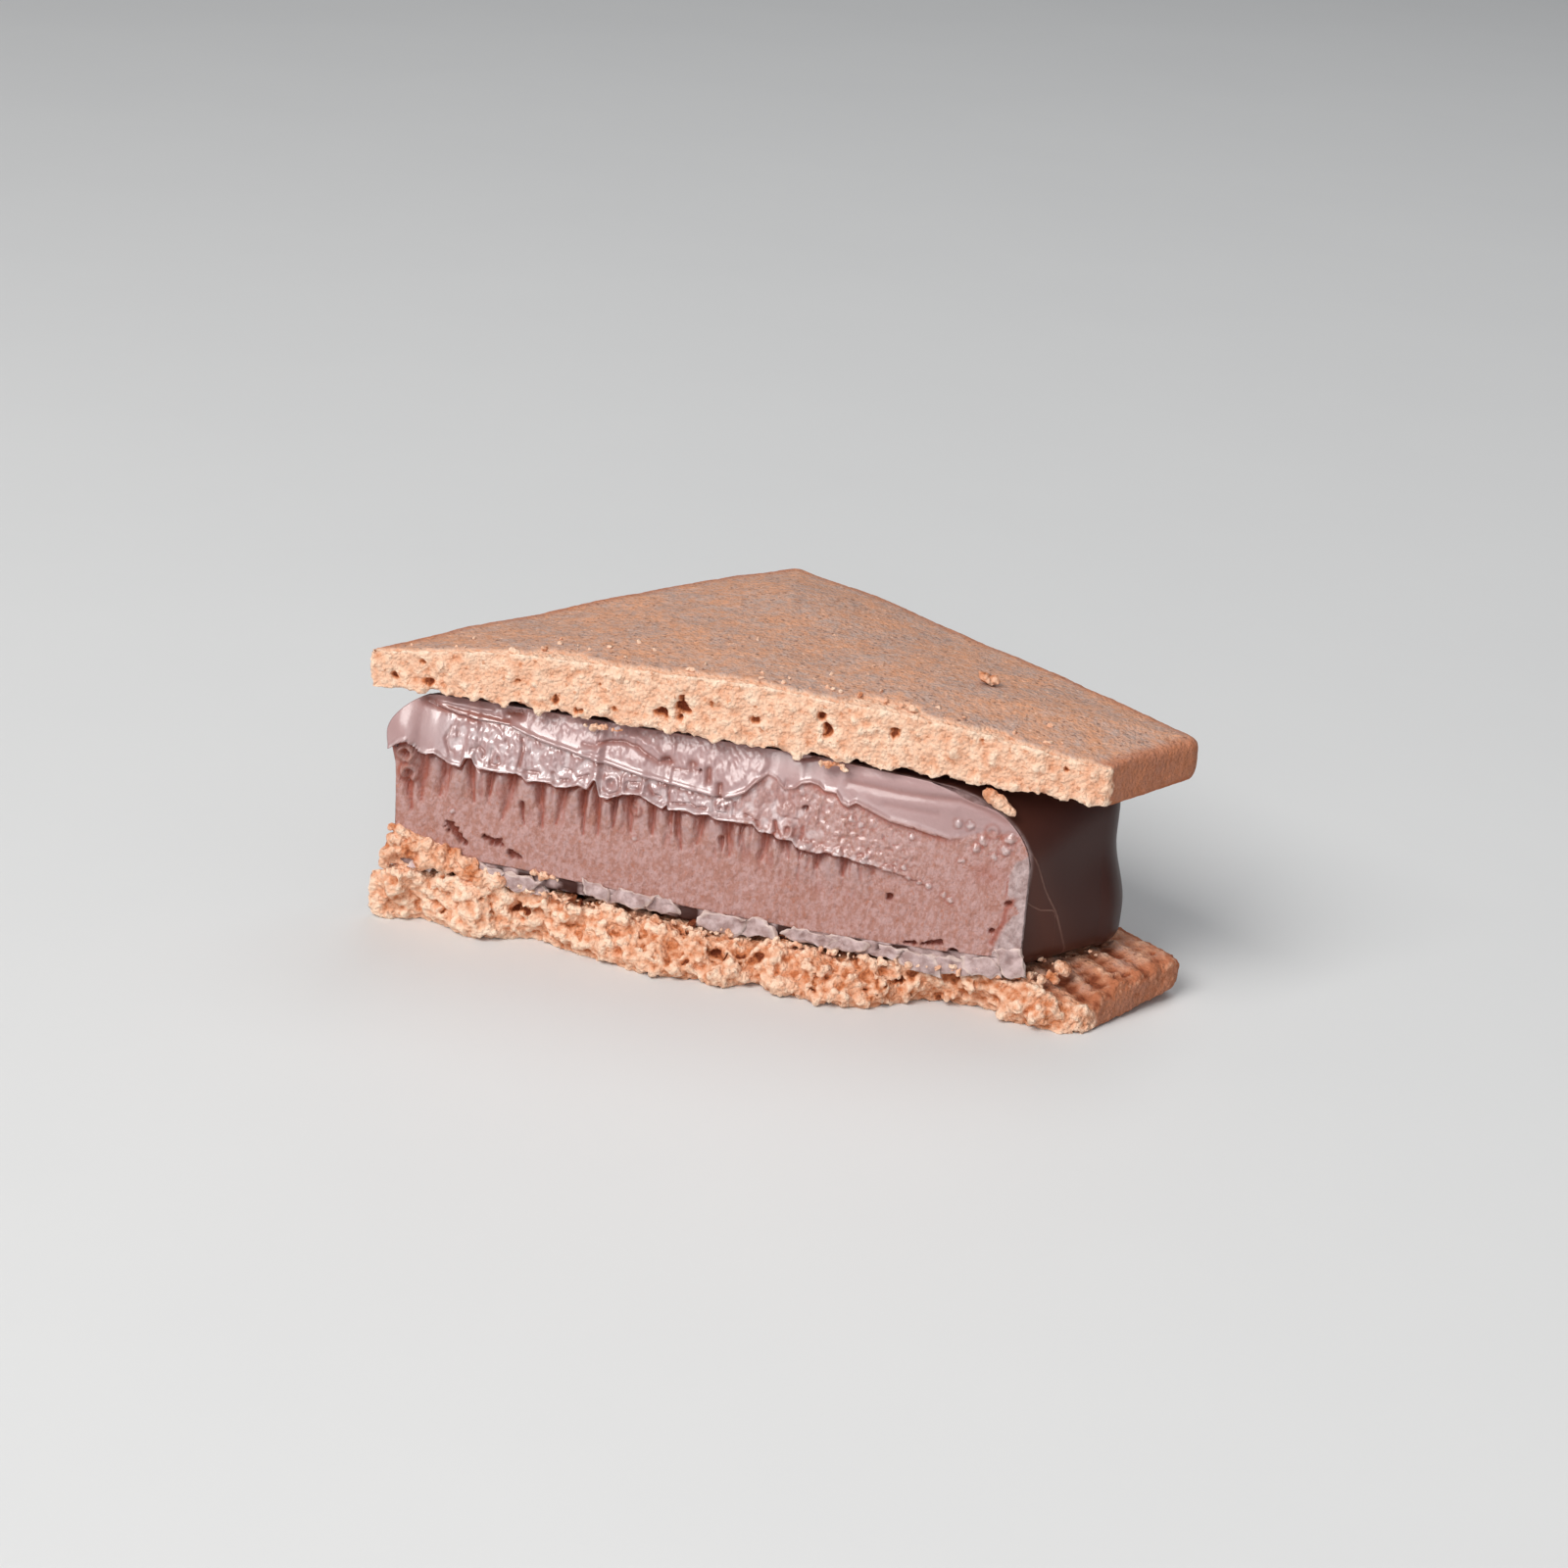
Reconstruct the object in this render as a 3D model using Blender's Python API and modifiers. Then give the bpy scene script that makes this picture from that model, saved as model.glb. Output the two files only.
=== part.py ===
"""A chocolate sandwich cookie, cut on a slant.

Two crisp cocoa biscuits lie above and below a slab of ganache that is dipped in chocolate. The whole cookie was
square. A knife left this right trapezoid: three baked edges, and one long cut that shows every layer. Seen from
above, X runs along the cut, +Y points from the cut to the back, and Z is up.
"""

import math

import bmesh
import bpy
import numpy as np
from mathutils import Vector, noise

MM = 0.001

# Plan of the cookie: right angles at both back corners, the cut between the two front corners.
BACK_EDGE = 52.6 * MM
LONG_EDGE = 50.2 * MM
SHORT_EDGE = 12.2 * MM
BAKED_CORNER = 1.1 * MM
CUT_CORNER = 0.2 * MM
CORNER_STEPS = 4
# How far each biscuit spread past that plan in the oven, at its left, back and right baked edge.
TOP_SPREAD = (0.75 * MM, 0.5 * MM, 0.3 * MM)
BOTTOM_SPREAD = (0.55 * MM, 0.6 * MM, 1.3 * MM)

# Biscuits: baked edge rounding, crown of the top biscuit, and how far the sandwich leans down to the right.
BAKED_EDGE = 1.1 * MM
BLANK_THICKNESS = 4.6 * MM
TOP_EDGE_HEIGHT = 25.6 * MM
TOP_UNDERSIDE = 21.75 * MM
TOP_CROWN = 2.1 * MM
CROWN_WIDTH = 9.0 * MM
CORNER_DROOP = 0.7 * MM
DROOP_WIDTH = 9.0 * MM
LEAN_RIGHT = 0.021
RISE_BACK = 0.006

# Upper face of the bottom biscuit along the cut: (place along the cut, height). It sags in the middle.
BED_ALONG_CUT = ((-33, 5.3), (-21, 5.6), (-11, 5.0), (-2, 4.3), (8, 3.9), (16, 3.9), (25, 4.15), (40, 4.1))
BED_AT_BACK = 4.6 * MM
BED_FADE = 12.0 * MM
BED_RIM_DROP = 0.3 * MM
WORN_CORNER_DROP = 1.3 * MM
WORN_CORNER_WIDTH = 4.0 * MM
# Broken foot of the bottom biscuit, which spreads forward of the cut: (place along the cut, reach forward).
FOOT_REACH = ((-33, 0.0), (-19, -0.1), (-11, 1.4), (-4, 2.6), (4, 2.2), (11, 3.2), (16, 1.6), (21, -0.6),
              (26, -0.3), (30, 0.9), (33, 0.7))

# Baking-mat print on the face of each biscuit that lies on the filling: beaded ridges along the back edge.
RIDGE_PITCH = 2.25 * MM
RIDGE_DEPTH = 0.34 * MM

# Dipped filling: how far it stands in from the baked edges, its edge roundings and its chocolate coat.
INSET_LEFT = 1.7 * MM
INSET_RIGHT = 4.3 * MM
INSET_BACK = 2.3 * MM
FILLING_CORNER = 3.4 * MM
FILLING_HEIGHT = 16.6 * MM
TOP_ROUND_ACROSS = 2.8 * MM
TOP_ROUND_DOWN = 3.6 * MM
FOOT_ROUND = 1.5 * MM
FOOT_FLARE = 1.1 * MM
FLARE_FROM_CUT = 7.0 * MM
COAT = 1.2 * MM
CLEARANCE = 0.3 * MM
# The knife pressed the right shoulder down beside the cut.
SHOULDER_ACROSS = 5.0 * MM
SHOULDER_DOWN = 3.2 * MM
SHOULDER_FADE = 4.5 * MM

# Smear that the knife pulled over the cut face: its lower lip as (place along the cut, height).
LIP_ALONG_CUT = ((-29, 16.6), (-22, 16.1), (-10, 15.8), (0, 14.8), (8, 13.5), (16, 12.1), (21, 10.6), (27, 9.6))
LIP_FORWARD = 0.55 * MM
LIP_THICKNESS = 0.9 * MM
SMEAR_ROLL_BACK = 1.9 * MM
SMEAR_DEPTH = 2.5 * MM
SMEAR_END = 20.0 * MM
SMEAR_FADE = 12.0 * MM
DRAG_PITCH = 1.75 * MM
DRAG_DEPTH = 0.55 * MM
DRAG_LENGTH = 4.4 * MM

# Working mesh sizes and the triangles that each finished solid keeps.
SIDE_STEPS, BACK_STEPS, ARC_STEPS = 6, 5, 4
BISCUIT_VOXEL = 0.62 * MM
GANACHE_VOXEL = 0.55 * MM
TRIANGLES = {"biscuit_top": 2900, "biscuit_bottom": 3500, "ganache": 2900}
CELL = 4.2 * MM

SLANT = math.atan2(BACK_EDGE, LONG_EDGE - SHORT_EDGE)
CUT_LENGTH = math.hypot(BACK_EDGE, LONG_EDGE - SHORT_EDGE)
ALONG = Vector((math.cos(SLANT), math.sin(SLANT)))
ACROSS = Vector((math.sin(SLANT), -math.cos(SLANT)))
FRONT_LEFT = Vector((-CUT_LENGTH / 2, 0))
FRONT_RIGHT = Vector((CUT_LENGTH / 2, 0))
BACK_LEFT = FRONT_LEFT + LONG_EDGE * ALONG
BACK_RIGHT = FRONT_RIGHT + SHORT_EDGE * ALONG


def collection(name):
    made = bpy.data.collections.new(name)
    bpy.context.scene.collection.children.link(made)
    return made


def material(name, color, roughness, coat=0.0):
    made = bpy.data.materials.new(name)
    made.use_nodes = True
    shader = made.node_tree.nodes["Principled BSDF"]
    shader.inputs["Base Color"].default_value = (*color, 1)
    shader.inputs["Roughness"].default_value = roughness
    shader.inputs["Metallic"].default_value = 0
    shader.inputs["Coat Weight"].default_value = coat
    made.diffuse_color = (*color, 1)
    return made


def mesh_object(name, mesh, where):
    made = bpy.data.objects.new(name, mesh)
    where.objects.link(made)
    return made


def apply_modifiers(piece):
    """Swaps the object's mesh for what its modifiers make of it."""
    graph = bpy.context.evaluated_depsgraph_get()
    evaluated = piece.evaluated_get(graph)
    finished = bpy.data.meshes.new_from_object(evaluated, depsgraph=graph)
    piece.modifiers.clear()
    piece.data = finished


def points_of(piece):
    points = np.empty(len(piece.data.vertices) * 3)
    piece.data.vertices.foreach_get("co", points)
    return points.reshape(-1, 3)


def normals_of(piece):
    normals = np.empty(len(piece.data.vertices) * 3)
    piece.data.vertices.foreach_get("normal", normals)
    return normals.reshape(-1, 3)


def move_points(piece, points):
    piece.data.vertices.foreach_set("co", points.ravel())
    piece.data.update()


def profile(table, x):
    """Smooth height in metres at x, from a short list of (x, height) points in millimetres."""
    places = np.array([row[0] for row in table]) * MM
    heights = np.array([row[1] for row in table]) * MM
    spread = 1.5 * MM
    return sum(np.interp(x + step * spread, places, heights) for step in (-1, -0.5, 0, 0.5, 1)) / 5


def grain(points, size, seed):
    """Smooth random field between about -1 and 1, with lumps of the given size."""
    offset = Vector((seed * 17.3, seed * 5.9, seed * 11.1))
    return np.array([noise.noise(Vector(point) / size + offset) for point in points])


def from_baked_edge(points):
    """Distance in plan from the nearest of the three baked edges."""
    x, y = points[:, 0], points[:, 1]
    from_left = (x - FRONT_LEFT.x) * ACROSS.x + y * ACROSS.y
    from_right = BACK_EDGE - from_left
    from_back = LONG_EDGE - (x - FRONT_LEFT.x) * ALONG.x - y * ALONG.y
    return np.minimum(np.minimum(from_left, from_right), from_back)


def along_left_edge(points):
    return (points[:, 0] - FRONT_LEFT.x) * ALONG.x + points[:, 1] * ALONG.y


def mat_print(points):
    """Depth of the baking-mat print: 0 on a bead, 1 in the groove between two rows."""
    rows = along_left_edge(points) / RIDGE_PITCH
    beads = ((points[:, 0] - FRONT_LEFT.x) * ACROSS.x + points[:, 1] * ACROSS.y) / RIDGE_PITCH
    groove = 0.5 - 0.5 * np.cos(2 * math.pi * rows)
    return 0.75 * groove + 0.25 * (0.5 - 0.5 * np.cos(2 * math.pi * beads))


def bed_height(x, y):
    """Upper face of the bottom biscuit, where the filling lies."""
    return BED_AT_BACK + (profile(BED_ALONG_CUT, x) - BED_AT_BACK) * np.exp(-np.maximum(y, 0) / BED_FADE)


def corner_arc(corner, before, after, radius, steps):
    """Points of a round corner of a flat outline."""
    back = (before - corner).normalized()
    ahead = (after - corner).normalized()
    half = back.angle(ahead) / 2
    middle = (back + ahead).normalized()
    centre = corner + middle * radius / math.sin(half)
    start = corner + back * radius / math.tan(half) - centre
    turn = math.pi - 2 * half
    side = 1 if back.x * ahead.y - back.y * ahead.x < 0 else -1
    angles = [side * turn * step / steps for step in range(steps + 1)]
    return [
        centre + Vector((start.x * math.cos(a) - start.y * math.sin(a), start.x * math.sin(a) + start.y * math.cos(a)))
        for a in angles
    ]


def biscuit_outline(spread):
    left, back, right = spread
    corners = [
        FRONT_LEFT - Vector((left / ACROSS.x, 0)),
        FRONT_RIGHT + Vector((right / ACROSS.x, 0)),
        BACK_RIGHT + right * ACROSS + back * ALONG,
        BACK_LEFT - left * ACROSS + back * ALONG,
    ]
    radii = [CUT_CORNER, CUT_CORNER, BAKED_CORNER, BAKED_CORNER]
    outline = []
    for place, (corner, radius) in enumerate(zip(corners, radii)):
        outline += corner_arc(corner, corners[place - 1], corners[(place + 1) % 4], radius, CORNER_STEPS)
    return outline


def biscuit_blank(name, where, spread):
    """A flat biscuit with rounded baked edges and a sharp cut, as an even, dense mesh from z 0 up."""
    curve = bpy.data.curves.new(name + "_outline", "CURVE")
    curve.dimensions = "2D"
    curve.fill_mode = "BOTH"
    curve.extrude = BLANK_THICKNESS / 2
    outline = biscuit_outline(spread)
    spline = curve.splines.new("POLY")
    spline.points.add(len(outline) - 1)
    for point, place in zip(spline.points, outline):
        point.co = (place.x, place.y, 0, 1)
    spline.use_cyclic_u = True
    guide = bpy.data.objects.new(name + "_outline", curve)
    where.objects.link(guide)
    graph = bpy.context.evaluated_depsgraph_get()
    mesh = bpy.data.meshes.new_from_object(guide.evaluated_get(graph), depsgraph=graph)
    bpy.data.objects.remove(guide)

    shape = bmesh.new()
    shape.from_mesh(mesh)
    bmesh.ops.remove_doubles(shape, verts=shape.verts, dist=0.01 * MM)
    bmesh.ops.dissolve_limit(shape, angle_limit=math.radians(1), verts=shape.verts, edges=shape.edges)
    bmesh.ops.translate(shape, verts=shape.verts, vec=(0, 0, BLANK_THICKNESS / 2))
    behind_cut = CUT_CORNER
    rims = [
        edge
        for edge in shape.edges
        if abs(edge.verts[0].co.z - edge.verts[1].co.z) < 0.01 * MM
        and max(corner.co.y for corner in edge.verts) > behind_cut
        and any(abs(face.normal.z) > 0.9 for face in edge.link_faces)
    ]
    bmesh.ops.bevel(shape, geom=rims, offset=BAKED_EDGE, segments=3, profile=0.5, affect="EDGES")
    bmesh.ops.recalc_face_normals(shape, faces=shape.faces)
    shape.to_mesh(mesh)
    shape.free()

    piece = mesh_object(name, mesh, where)
    remesh = piece.modifiers.new("Even mesh", "REMESH")
    remesh.mode = "VOXEL"
    remesh.voxel_size = BISCUIT_VOXEL
    remesh.use_smooth_shade = False
    apply_modifiers(piece)
    return piece


def thin_out(piece):
    """Leaves the number of triangles that the finished solid keeps, most of them on the relief."""
    piece.data.calc_loop_triangles()
    reduce = piece.modifiers.new("Fewer triangles", "DECIMATE")
    reduce.ratio = TRIANGLES[piece.name] / len(piece.data.loop_triangles)
    apply_modifiers(piece)
    piece.data.shade_smooth()
    piece.data.set_sharp_from_angle(angle=math.radians(40))


def make_biscuit_top(where, finish):
    piece = biscuit_blank("biscuit_top", where, TOP_SPREAD)
    points = points_of(piece)
    x, y = points[:, 0].copy(), points[:, 1].copy()
    inside = np.maximum(from_baked_edge(points), 0)
    crown = TOP_CROWN * (1 - np.exp(-((inside / CROWN_WIDTH) ** 1.5)))
    wave = 0.25 * MM * grain(points * (1, 1, 0), 11 * MM, 1)
    from_back_corner = np.hypot(x - BACK_LEFT.x, y - BACK_LEFT.y)
    droop = CORNER_DROOP * np.exp(-((from_back_corner / DROOP_WIDTH) ** 2))
    upper = TOP_EDGE_HEIGHT - LEAN_RIGHT * x + RISE_BACK * y + crown + wave - droop
    lower = TOP_UNDERSIDE - LEAN_RIGHT * x + RIDGE_DEPTH * mat_print(points)
    level = points[:, 2] / BLANK_THICKNESS
    points[:, 2] = lower + level * (upper - lower)
    move_points(piece, points)

    normals = normals_of(piece)
    on_cut = np.clip(-normals[:, 1], 0, 1) ** 2
    on_rim = np.clip(1 - np.abs(normals[:, 2]), 0, 1) * (1 - on_cut)
    crumbs = 0.30 * grain(points, 2.2 * MM, 2) + 0.22 * grain(points, 1.1 * MM, 3)
    baked = 0.16 * grain(points, 3.0 * MM, 4)
    depth = on_cut * (crumbs - 0.08) + on_rim * baked
    points += normals * (depth * MM)[:, None]
    move_points(piece, points)
    thin_out(piece)
    piece.data.materials.append(finish)
    return piece


def make_biscuit_bottom(where, finish):
    piece = biscuit_blank("biscuit_bottom", where, BOTTOM_SPREAD)
    points = points_of(piece)
    x, y = points[:, 0].copy(), points[:, 1].copy()
    level = points[:, 2] / BLANK_THICKNESS
    inside = np.maximum(from_baked_edge(points), 0)
    from_corner = np.hypot(x - FRONT_RIGHT.x, y)
    rim = BED_RIM_DROP * np.exp(-inside / (2.0 * MM))
    rim += WORN_CORNER_DROP * np.exp(-((from_corner / WORN_CORNER_WIDTH) ** 2))
    print_depth = RIDGE_DEPTH * mat_print(points)
    points[:, 2] = level * (bed_height(x, y) - rim - print_depth)
    near_cut = np.exp(-np.maximum(y, 0) / (1.6 * MM))
    reach = profile(FOOT_REACH, x)
    low = 1 - level
    points[:, 1] -= near_cut * reach * np.sin(0.5 * math.pi * np.clip(0.25 + 0.9 * low, 0, 1)) ** 2
    move_points(piece, points)

    normals = normals_of(piece)
    on_cut = np.clip(-normals[:, 1], 0, 1)
    on_rim = np.clip(1 - np.abs(normals[:, 2]), 0, 1) * (1 - on_cut)
    crags = 0.62 * grain(points, 3.0 * MM, 5) + 0.42 * grain(points, 1.4 * MM, 6)
    baked = 0.2 * grain(points, 2.6 * MM, 7)
    points += normals * ((on_cut * crags + on_rim * baked) * MM)[:, None]
    underside = (normals[:, 2] < -0.7) & (points[:, 2] < 0.5 * MM)
    points[:, 2] = np.where(underside, 0, np.maximum(points[:, 2], 0))
    move_points(piece, points)
    thin_out(piece)
    points = points_of(piece)
    points[:, 2] = np.where(points[:, 2] < 0.06 * MM, 0, points[:, 2])
    move_points(piece, points)
    piece.data.materials.append(finish)
    return piece


def edge_inset(height, shrink, y, press=0):
    """How far the side of the filling stands in, y behind the cut, for a body that is smaller by shrink all round."""
    low, high = shrink, FILLING_HEIGHT - shrink
    pressed = press * math.exp(-((max(y, 0) / SHOULDER_FADE) ** 2))
    across = max(TOP_ROUND_ACROSS + pressed * SHOULDER_ACROSS - shrink, 0.4 * MM)
    down = max(TOP_ROUND_DOWN + pressed * SHOULDER_DOWN - shrink, 0.4 * MM)
    foot = max(FOOT_ROUND - shrink, 0.25 * MM)
    inset = 0
    if height > high - down:
        inset = across * (1 - math.sqrt(max(0, 1 - ((height - high + down) / down) ** 2)))
    elif height < low + foot:
        inset = foot * (1 - math.sqrt(max(0, 1 - ((low + foot - height) / foot) ** 2)))
    # The coat ran down before it set, so the sides swell towards the foot, but not beside the cut.
    swell = 0.5 + 0.5 * math.cos(math.pi * min(max(height / FILLING_HEIGHT - 0.2, 0) / 0.45, 1))
    return inset - FOOT_FLARE * swell * (1 - math.exp(-((max(y, 0) / FLARE_FROM_CUT) ** 2)))


def filling_ring(height, shrink, front):
    """One level of the filling as points in plan, from the cut on the left round the back to the cut on the right."""
    far = BACK_LEFT.y / 2
    plain = shrink + edge_inset(height, shrink, far)
    radius = max(FILLING_CORNER - plain, 0.3 * MM)
    back = LONG_EDGE - INSET_BACK - plain
    left, right = INSET_LEFT + plain, BACK_EDGE - INSET_RIGHT - plain

    def place(across, along):
        return FRONT_LEFT + across * ACROSS + along * ALONG

    def on_side(base, outward, y, press):
        """Point at this depth on a side of the filling, which stands in more beside the cut."""
        across = base - outward * (shrink + edge_inset(height, shrink, y, press))
        return place(across, (y - across * ACROSS.y) / ALONG.y)

    ring = []
    left_end, right_end = place(left, back - radius).y, place(right, back - radius).y
    for step in range(SIDE_STEPS):
        part = (step / SIDE_STEPS) ** 1.5
        ring.append(on_side(INSET_LEFT, -1, front + (left_end - front) * part, 0))
    for step in range(ARC_STEPS + 1):
        angle = 0.5 * math.pi * step / ARC_STEPS
        ring.append(place(left + radius * (1 - math.cos(angle)), back - radius * (1 - math.sin(angle))))
    for step in range(1, BACK_STEPS):
        ring.append(place(left + radius + (right - left - 2 * radius) * step / BACK_STEPS, back))
    for step in range(ARC_STEPS + 1):
        angle = 0.5 * math.pi * step / ARC_STEPS
        ring.append(place(right - radius * (1 - math.sin(angle)), back - radius * (1 - math.cos(angle))))
    for step in range(SIDE_STEPS - 1, -1, -1):
        part = step / SIDE_STEPS
        ring.append(on_side(BACK_EDGE - INSET_RIGHT, 1, front + (right_end - front) * part, 1))
    return ring


def filling_body(name, where, shrink, front):
    """The dipped filling, or its core, as a loft of level rings with flat ends."""
    low, high = shrink, FILLING_HEIGHT - shrink
    foot = max(FOOT_ROUND - shrink, 0.25 * MM)
    heights = [low + foot * (1 - math.cos(0.5 * math.pi * step / 3)) for step in range(4)]
    heights += [low + foot + (high - low - foot) * part for part in (0.2, 0.38, 0.55, 0.68, 0.78, 0.86, 0.92, 0.965)]
    heights += [high - 0.1 * MM, high]
    shape = bmesh.new()
    rings = []
    for height in heights:
        rings.append([shape.verts.new((p.x, p.y, height)) for p in filling_ring(height, shrink, front)])
    for below, above in zip(rings, rings[1:]):
        for place in range(len(below)):
            following = (place + 1) % len(below)
            shape.faces.new((below[place], above[place], above[following], below[following]))
    shape.faces.new(rings[0])
    shape.faces.new(list(reversed(rings[-1])))
    bmesh.ops.recalc_face_normals(shape, faces=shape.faces)
    mesh = bpy.data.meshes.new(name)
    shape.to_mesh(mesh)
    shape.free()
    return mesh_object(name, mesh, where)


def settle_filling(points):
    """Lays the straight filling on the sagging bed, and leans its top with the sandwich."""
    x, y = points[:, 0], points[:, 1]
    bottom = bed_height(x, y) + CLEARANCE + 0.05 * MM
    top = TOP_UNDERSIDE - LEAN_RIGHT * x - CLEARANCE - 0.05 * MM
    points[:, 2] = bottom + (top - bottom) * points[:, 2] / FILLING_HEIGHT
    return points


def slice_faces(piece):
    """Cuts the faces into cells, so that large flat ones can bend with the bed."""
    shape = bmesh.new()
    shape.from_mesh(piece.data)
    low, high = FRONT_LEFT.x, BACK_RIGHT.x
    depth = BACK_LEFT.y
    for step in range(1, int((high - low) / CELL)):
        everything = shape.verts[:] + shape.edges[:] + shape.faces[:]
        bmesh.ops.bisect_plane(shape, geom=everything, plane_co=(low + step * CELL, 0, 0), plane_no=(1, 0, 0))
    for step in range(1, int(depth / CELL)):
        everything = shape.verts[:] + shape.edges[:] + shape.faces[:]
        bmesh.ops.bisect_plane(shape, geom=everything, plane_co=(0, step * CELL, 0), plane_no=(0, 1, 0))
    bmesh.ops.remove_doubles(shape, verts=shape.verts, dist=0.05 * MM)
    shape.to_mesh(piece.data)
    shape.free()


def make_coating(where, cutters, finish):
    piece = filling_body("coating", where, 0, 0)
    core = filling_body("coating_hollow", cutters, COAT, -5 * MM)
    core.hide_render = True
    core.display_type = "WIRE"
    cut = piece.modifiers.new("Hollow", "BOOLEAN")
    cut.object = core
    cut.operation = "DIFFERENCE"
    cut.solver = "EXACT"
    apply_modifiers(piece)
    slice_faces(piece)
    points = settle_filling(points_of(piece))
    points[:, 1] += behind_cut(points) * smear_roll(points, profile(LIP_ALONG_CUT, points[:, 0]))
    move_points(piece, points)
    piece.data.shade_smooth()
    piece.data.set_sharp_from_angle(angle=math.radians(35))
    piece.data.materials.append(finish)
    return piece


def behind_cut(points):
    """1 on the cut and falling to 0 a few millimetres behind it."""
    return np.exp(-((np.maximum(points[:, 1], 0) / SMEAR_DEPTH) ** 2))


def smear_fade(x):
    """The smear is strong where the knife went in, on the left, and fades to the right."""
    return np.clip((SMEAR_END - x) / SMEAR_FADE, 0.15, 1)


def smear_roll(points, lip):
    """How far the top of the filling is rolled back from the cut, above the lip of the smear."""
    x, z = points[:, 0], points[:, 2]
    top = TOP_UNDERSIDE - LEAN_RIGHT * x
    above = np.clip((z - lip) / (top - lip), 0, 1)
    return SMEAR_ROLL_BACK * smear_fade(x) * above**2.2


def knife_marks(points):
    """How far the cut face of the ganache stands back from the cut: the smear, its lip and the drag ribs."""
    x, z = points[:, 0], points[:, 2]
    lip = profile(LIP_ALONG_CUT, x) + 0.35 * MM * grain(points * (1, 0, 0), 2.6 * MM, 8)
    bead = -LIP_FORWARD * np.exp(-(((z - lip) / LIP_THICKNESS) ** 2))
    below = (lip - z) / DRAG_LENGTH
    in_drag = np.clip(below * 6, 0, 1) * np.clip(1.15 - below, 0, 1)
    wander = 0.5 * grain(points * (1, 0, 0.3), 5 * MM, 9)
    ribs = np.clip(np.cos(2 * math.pi * (x / DRAG_PITCH + wander)), 0, 1)
    return smear_roll(points, lip) + smear_fade(x) * (bead + DRAG_DEPTH * in_drag * ribs)


def make_ganache(where, finish):
    piece = filling_body("ganache", where, COAT + CLEARANCE, 0)
    remesh = piece.modifiers.new("Even mesh", "REMESH")
    remesh.mode = "VOXEL"
    remesh.voxel_size = GANACHE_VOXEL
    remesh.use_smooth_shade = False
    apply_modifiers(piece)
    points = settle_filling(points_of(piece))
    facing = np.clip(-normals_of(piece)[:, 1], 0, 1)
    points[:, 1] += behind_cut(points) * np.maximum(facing, 0.6) * knife_marks(points)
    move_points(piece, points)
    thin_out(piece)
    piece.data.materials.append(finish)
    return piece


def centre_on_floor(pieces):
    """Puts the origin under the middle of the whole cookie, on the surface that it rests on."""
    graph = bpy.context.evaluated_depsgraph_get()
    graph.update()
    everything = np.concatenate([points_of(piece) for piece in pieces])
    low, high = everything.min(0), everything.max(0)
    shift = np.array([-(low[0] + high[0]) / 2, -(low[1] + high[1]) / 2, -low[2]])
    for piece in pieces:
        move_points(piece, points_of(piece) + shift)
    print("middle of the cut line, in millimetres:", [round(value / MM, 3) for value in shift])


def main():
    for leftover in list(bpy.data.objects):
        bpy.data.objects.remove(leftover)
    cookie = collection("chocolate_sandwich_cookie")
    cutters = collection("cutters")
    baked = material("baked_cocoa_biscuit", (0.42, 0.20, 0.11), 0.85)
    chocolate = material("dipping_chocolate", (0.075, 0.028, 0.024), 0.38, coat=0.2)
    filling = material("cut_ganache", (0.17, 0.075, 0.062), 0.5)
    pieces = [
        make_biscuit_bottom(cookie, baked),
        make_ganache(cookie, filling),
        make_coating(cookie, cutters, chocolate),
        make_biscuit_top(cookie, baked),
    ]
    centre_on_floor(pieces)


main()
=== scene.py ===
# %% [markdown]
# # A chocolate sandwich cookie, cut on a slant
#
# The real thing is two crisp cocoa biscuits round a slab of ganache that was dipped in chocolate. A knife went
# through it at an angle, so one long face shows every layer: broken crumb, smeared ganache, and a thin rim of coat.
# Plain solids of the four pieces already exist, and this lesson dresses them. We load them as a frame, then make a
# finer piece for each, in the same place.

# %% The plain solids and their box
import math

import bmesh
import bpy
import numpy as np
from mathutils import Matrix, Vector, noise


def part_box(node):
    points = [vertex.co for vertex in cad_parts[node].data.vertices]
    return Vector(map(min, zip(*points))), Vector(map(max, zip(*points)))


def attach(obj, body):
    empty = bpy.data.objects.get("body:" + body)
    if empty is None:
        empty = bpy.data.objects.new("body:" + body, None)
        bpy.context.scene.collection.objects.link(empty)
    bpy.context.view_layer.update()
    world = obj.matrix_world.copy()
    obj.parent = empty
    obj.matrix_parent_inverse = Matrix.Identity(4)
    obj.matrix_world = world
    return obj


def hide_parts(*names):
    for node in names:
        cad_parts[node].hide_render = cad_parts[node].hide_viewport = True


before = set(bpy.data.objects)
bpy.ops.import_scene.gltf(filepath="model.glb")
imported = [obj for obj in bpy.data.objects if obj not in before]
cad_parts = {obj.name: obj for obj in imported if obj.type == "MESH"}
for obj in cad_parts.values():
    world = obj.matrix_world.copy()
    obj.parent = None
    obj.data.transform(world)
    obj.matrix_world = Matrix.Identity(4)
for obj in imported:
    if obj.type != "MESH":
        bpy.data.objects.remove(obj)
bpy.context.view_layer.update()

MM = 0.001

# %% [markdown]
# ## The plan of the cookie
#
# Seen from above, the piece is a square with one slanted cut. Everything is easiest to describe from the cut: X runs
# along it, Y points back from it, and Z is up. Work in that frame, and move each finished piece to its place at the
# end. All sizes are real ones, in millimetres times `MM`.

# %% Sizes in plan
BACK_EDGE = 52.6 * MM
LONG_EDGE = 50.2 * MM
SHORT_EDGE = 12.2 * MM
BAKED_CORNER = 1.1 * MM
CUT_CORNER = 0.2 * MM
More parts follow.
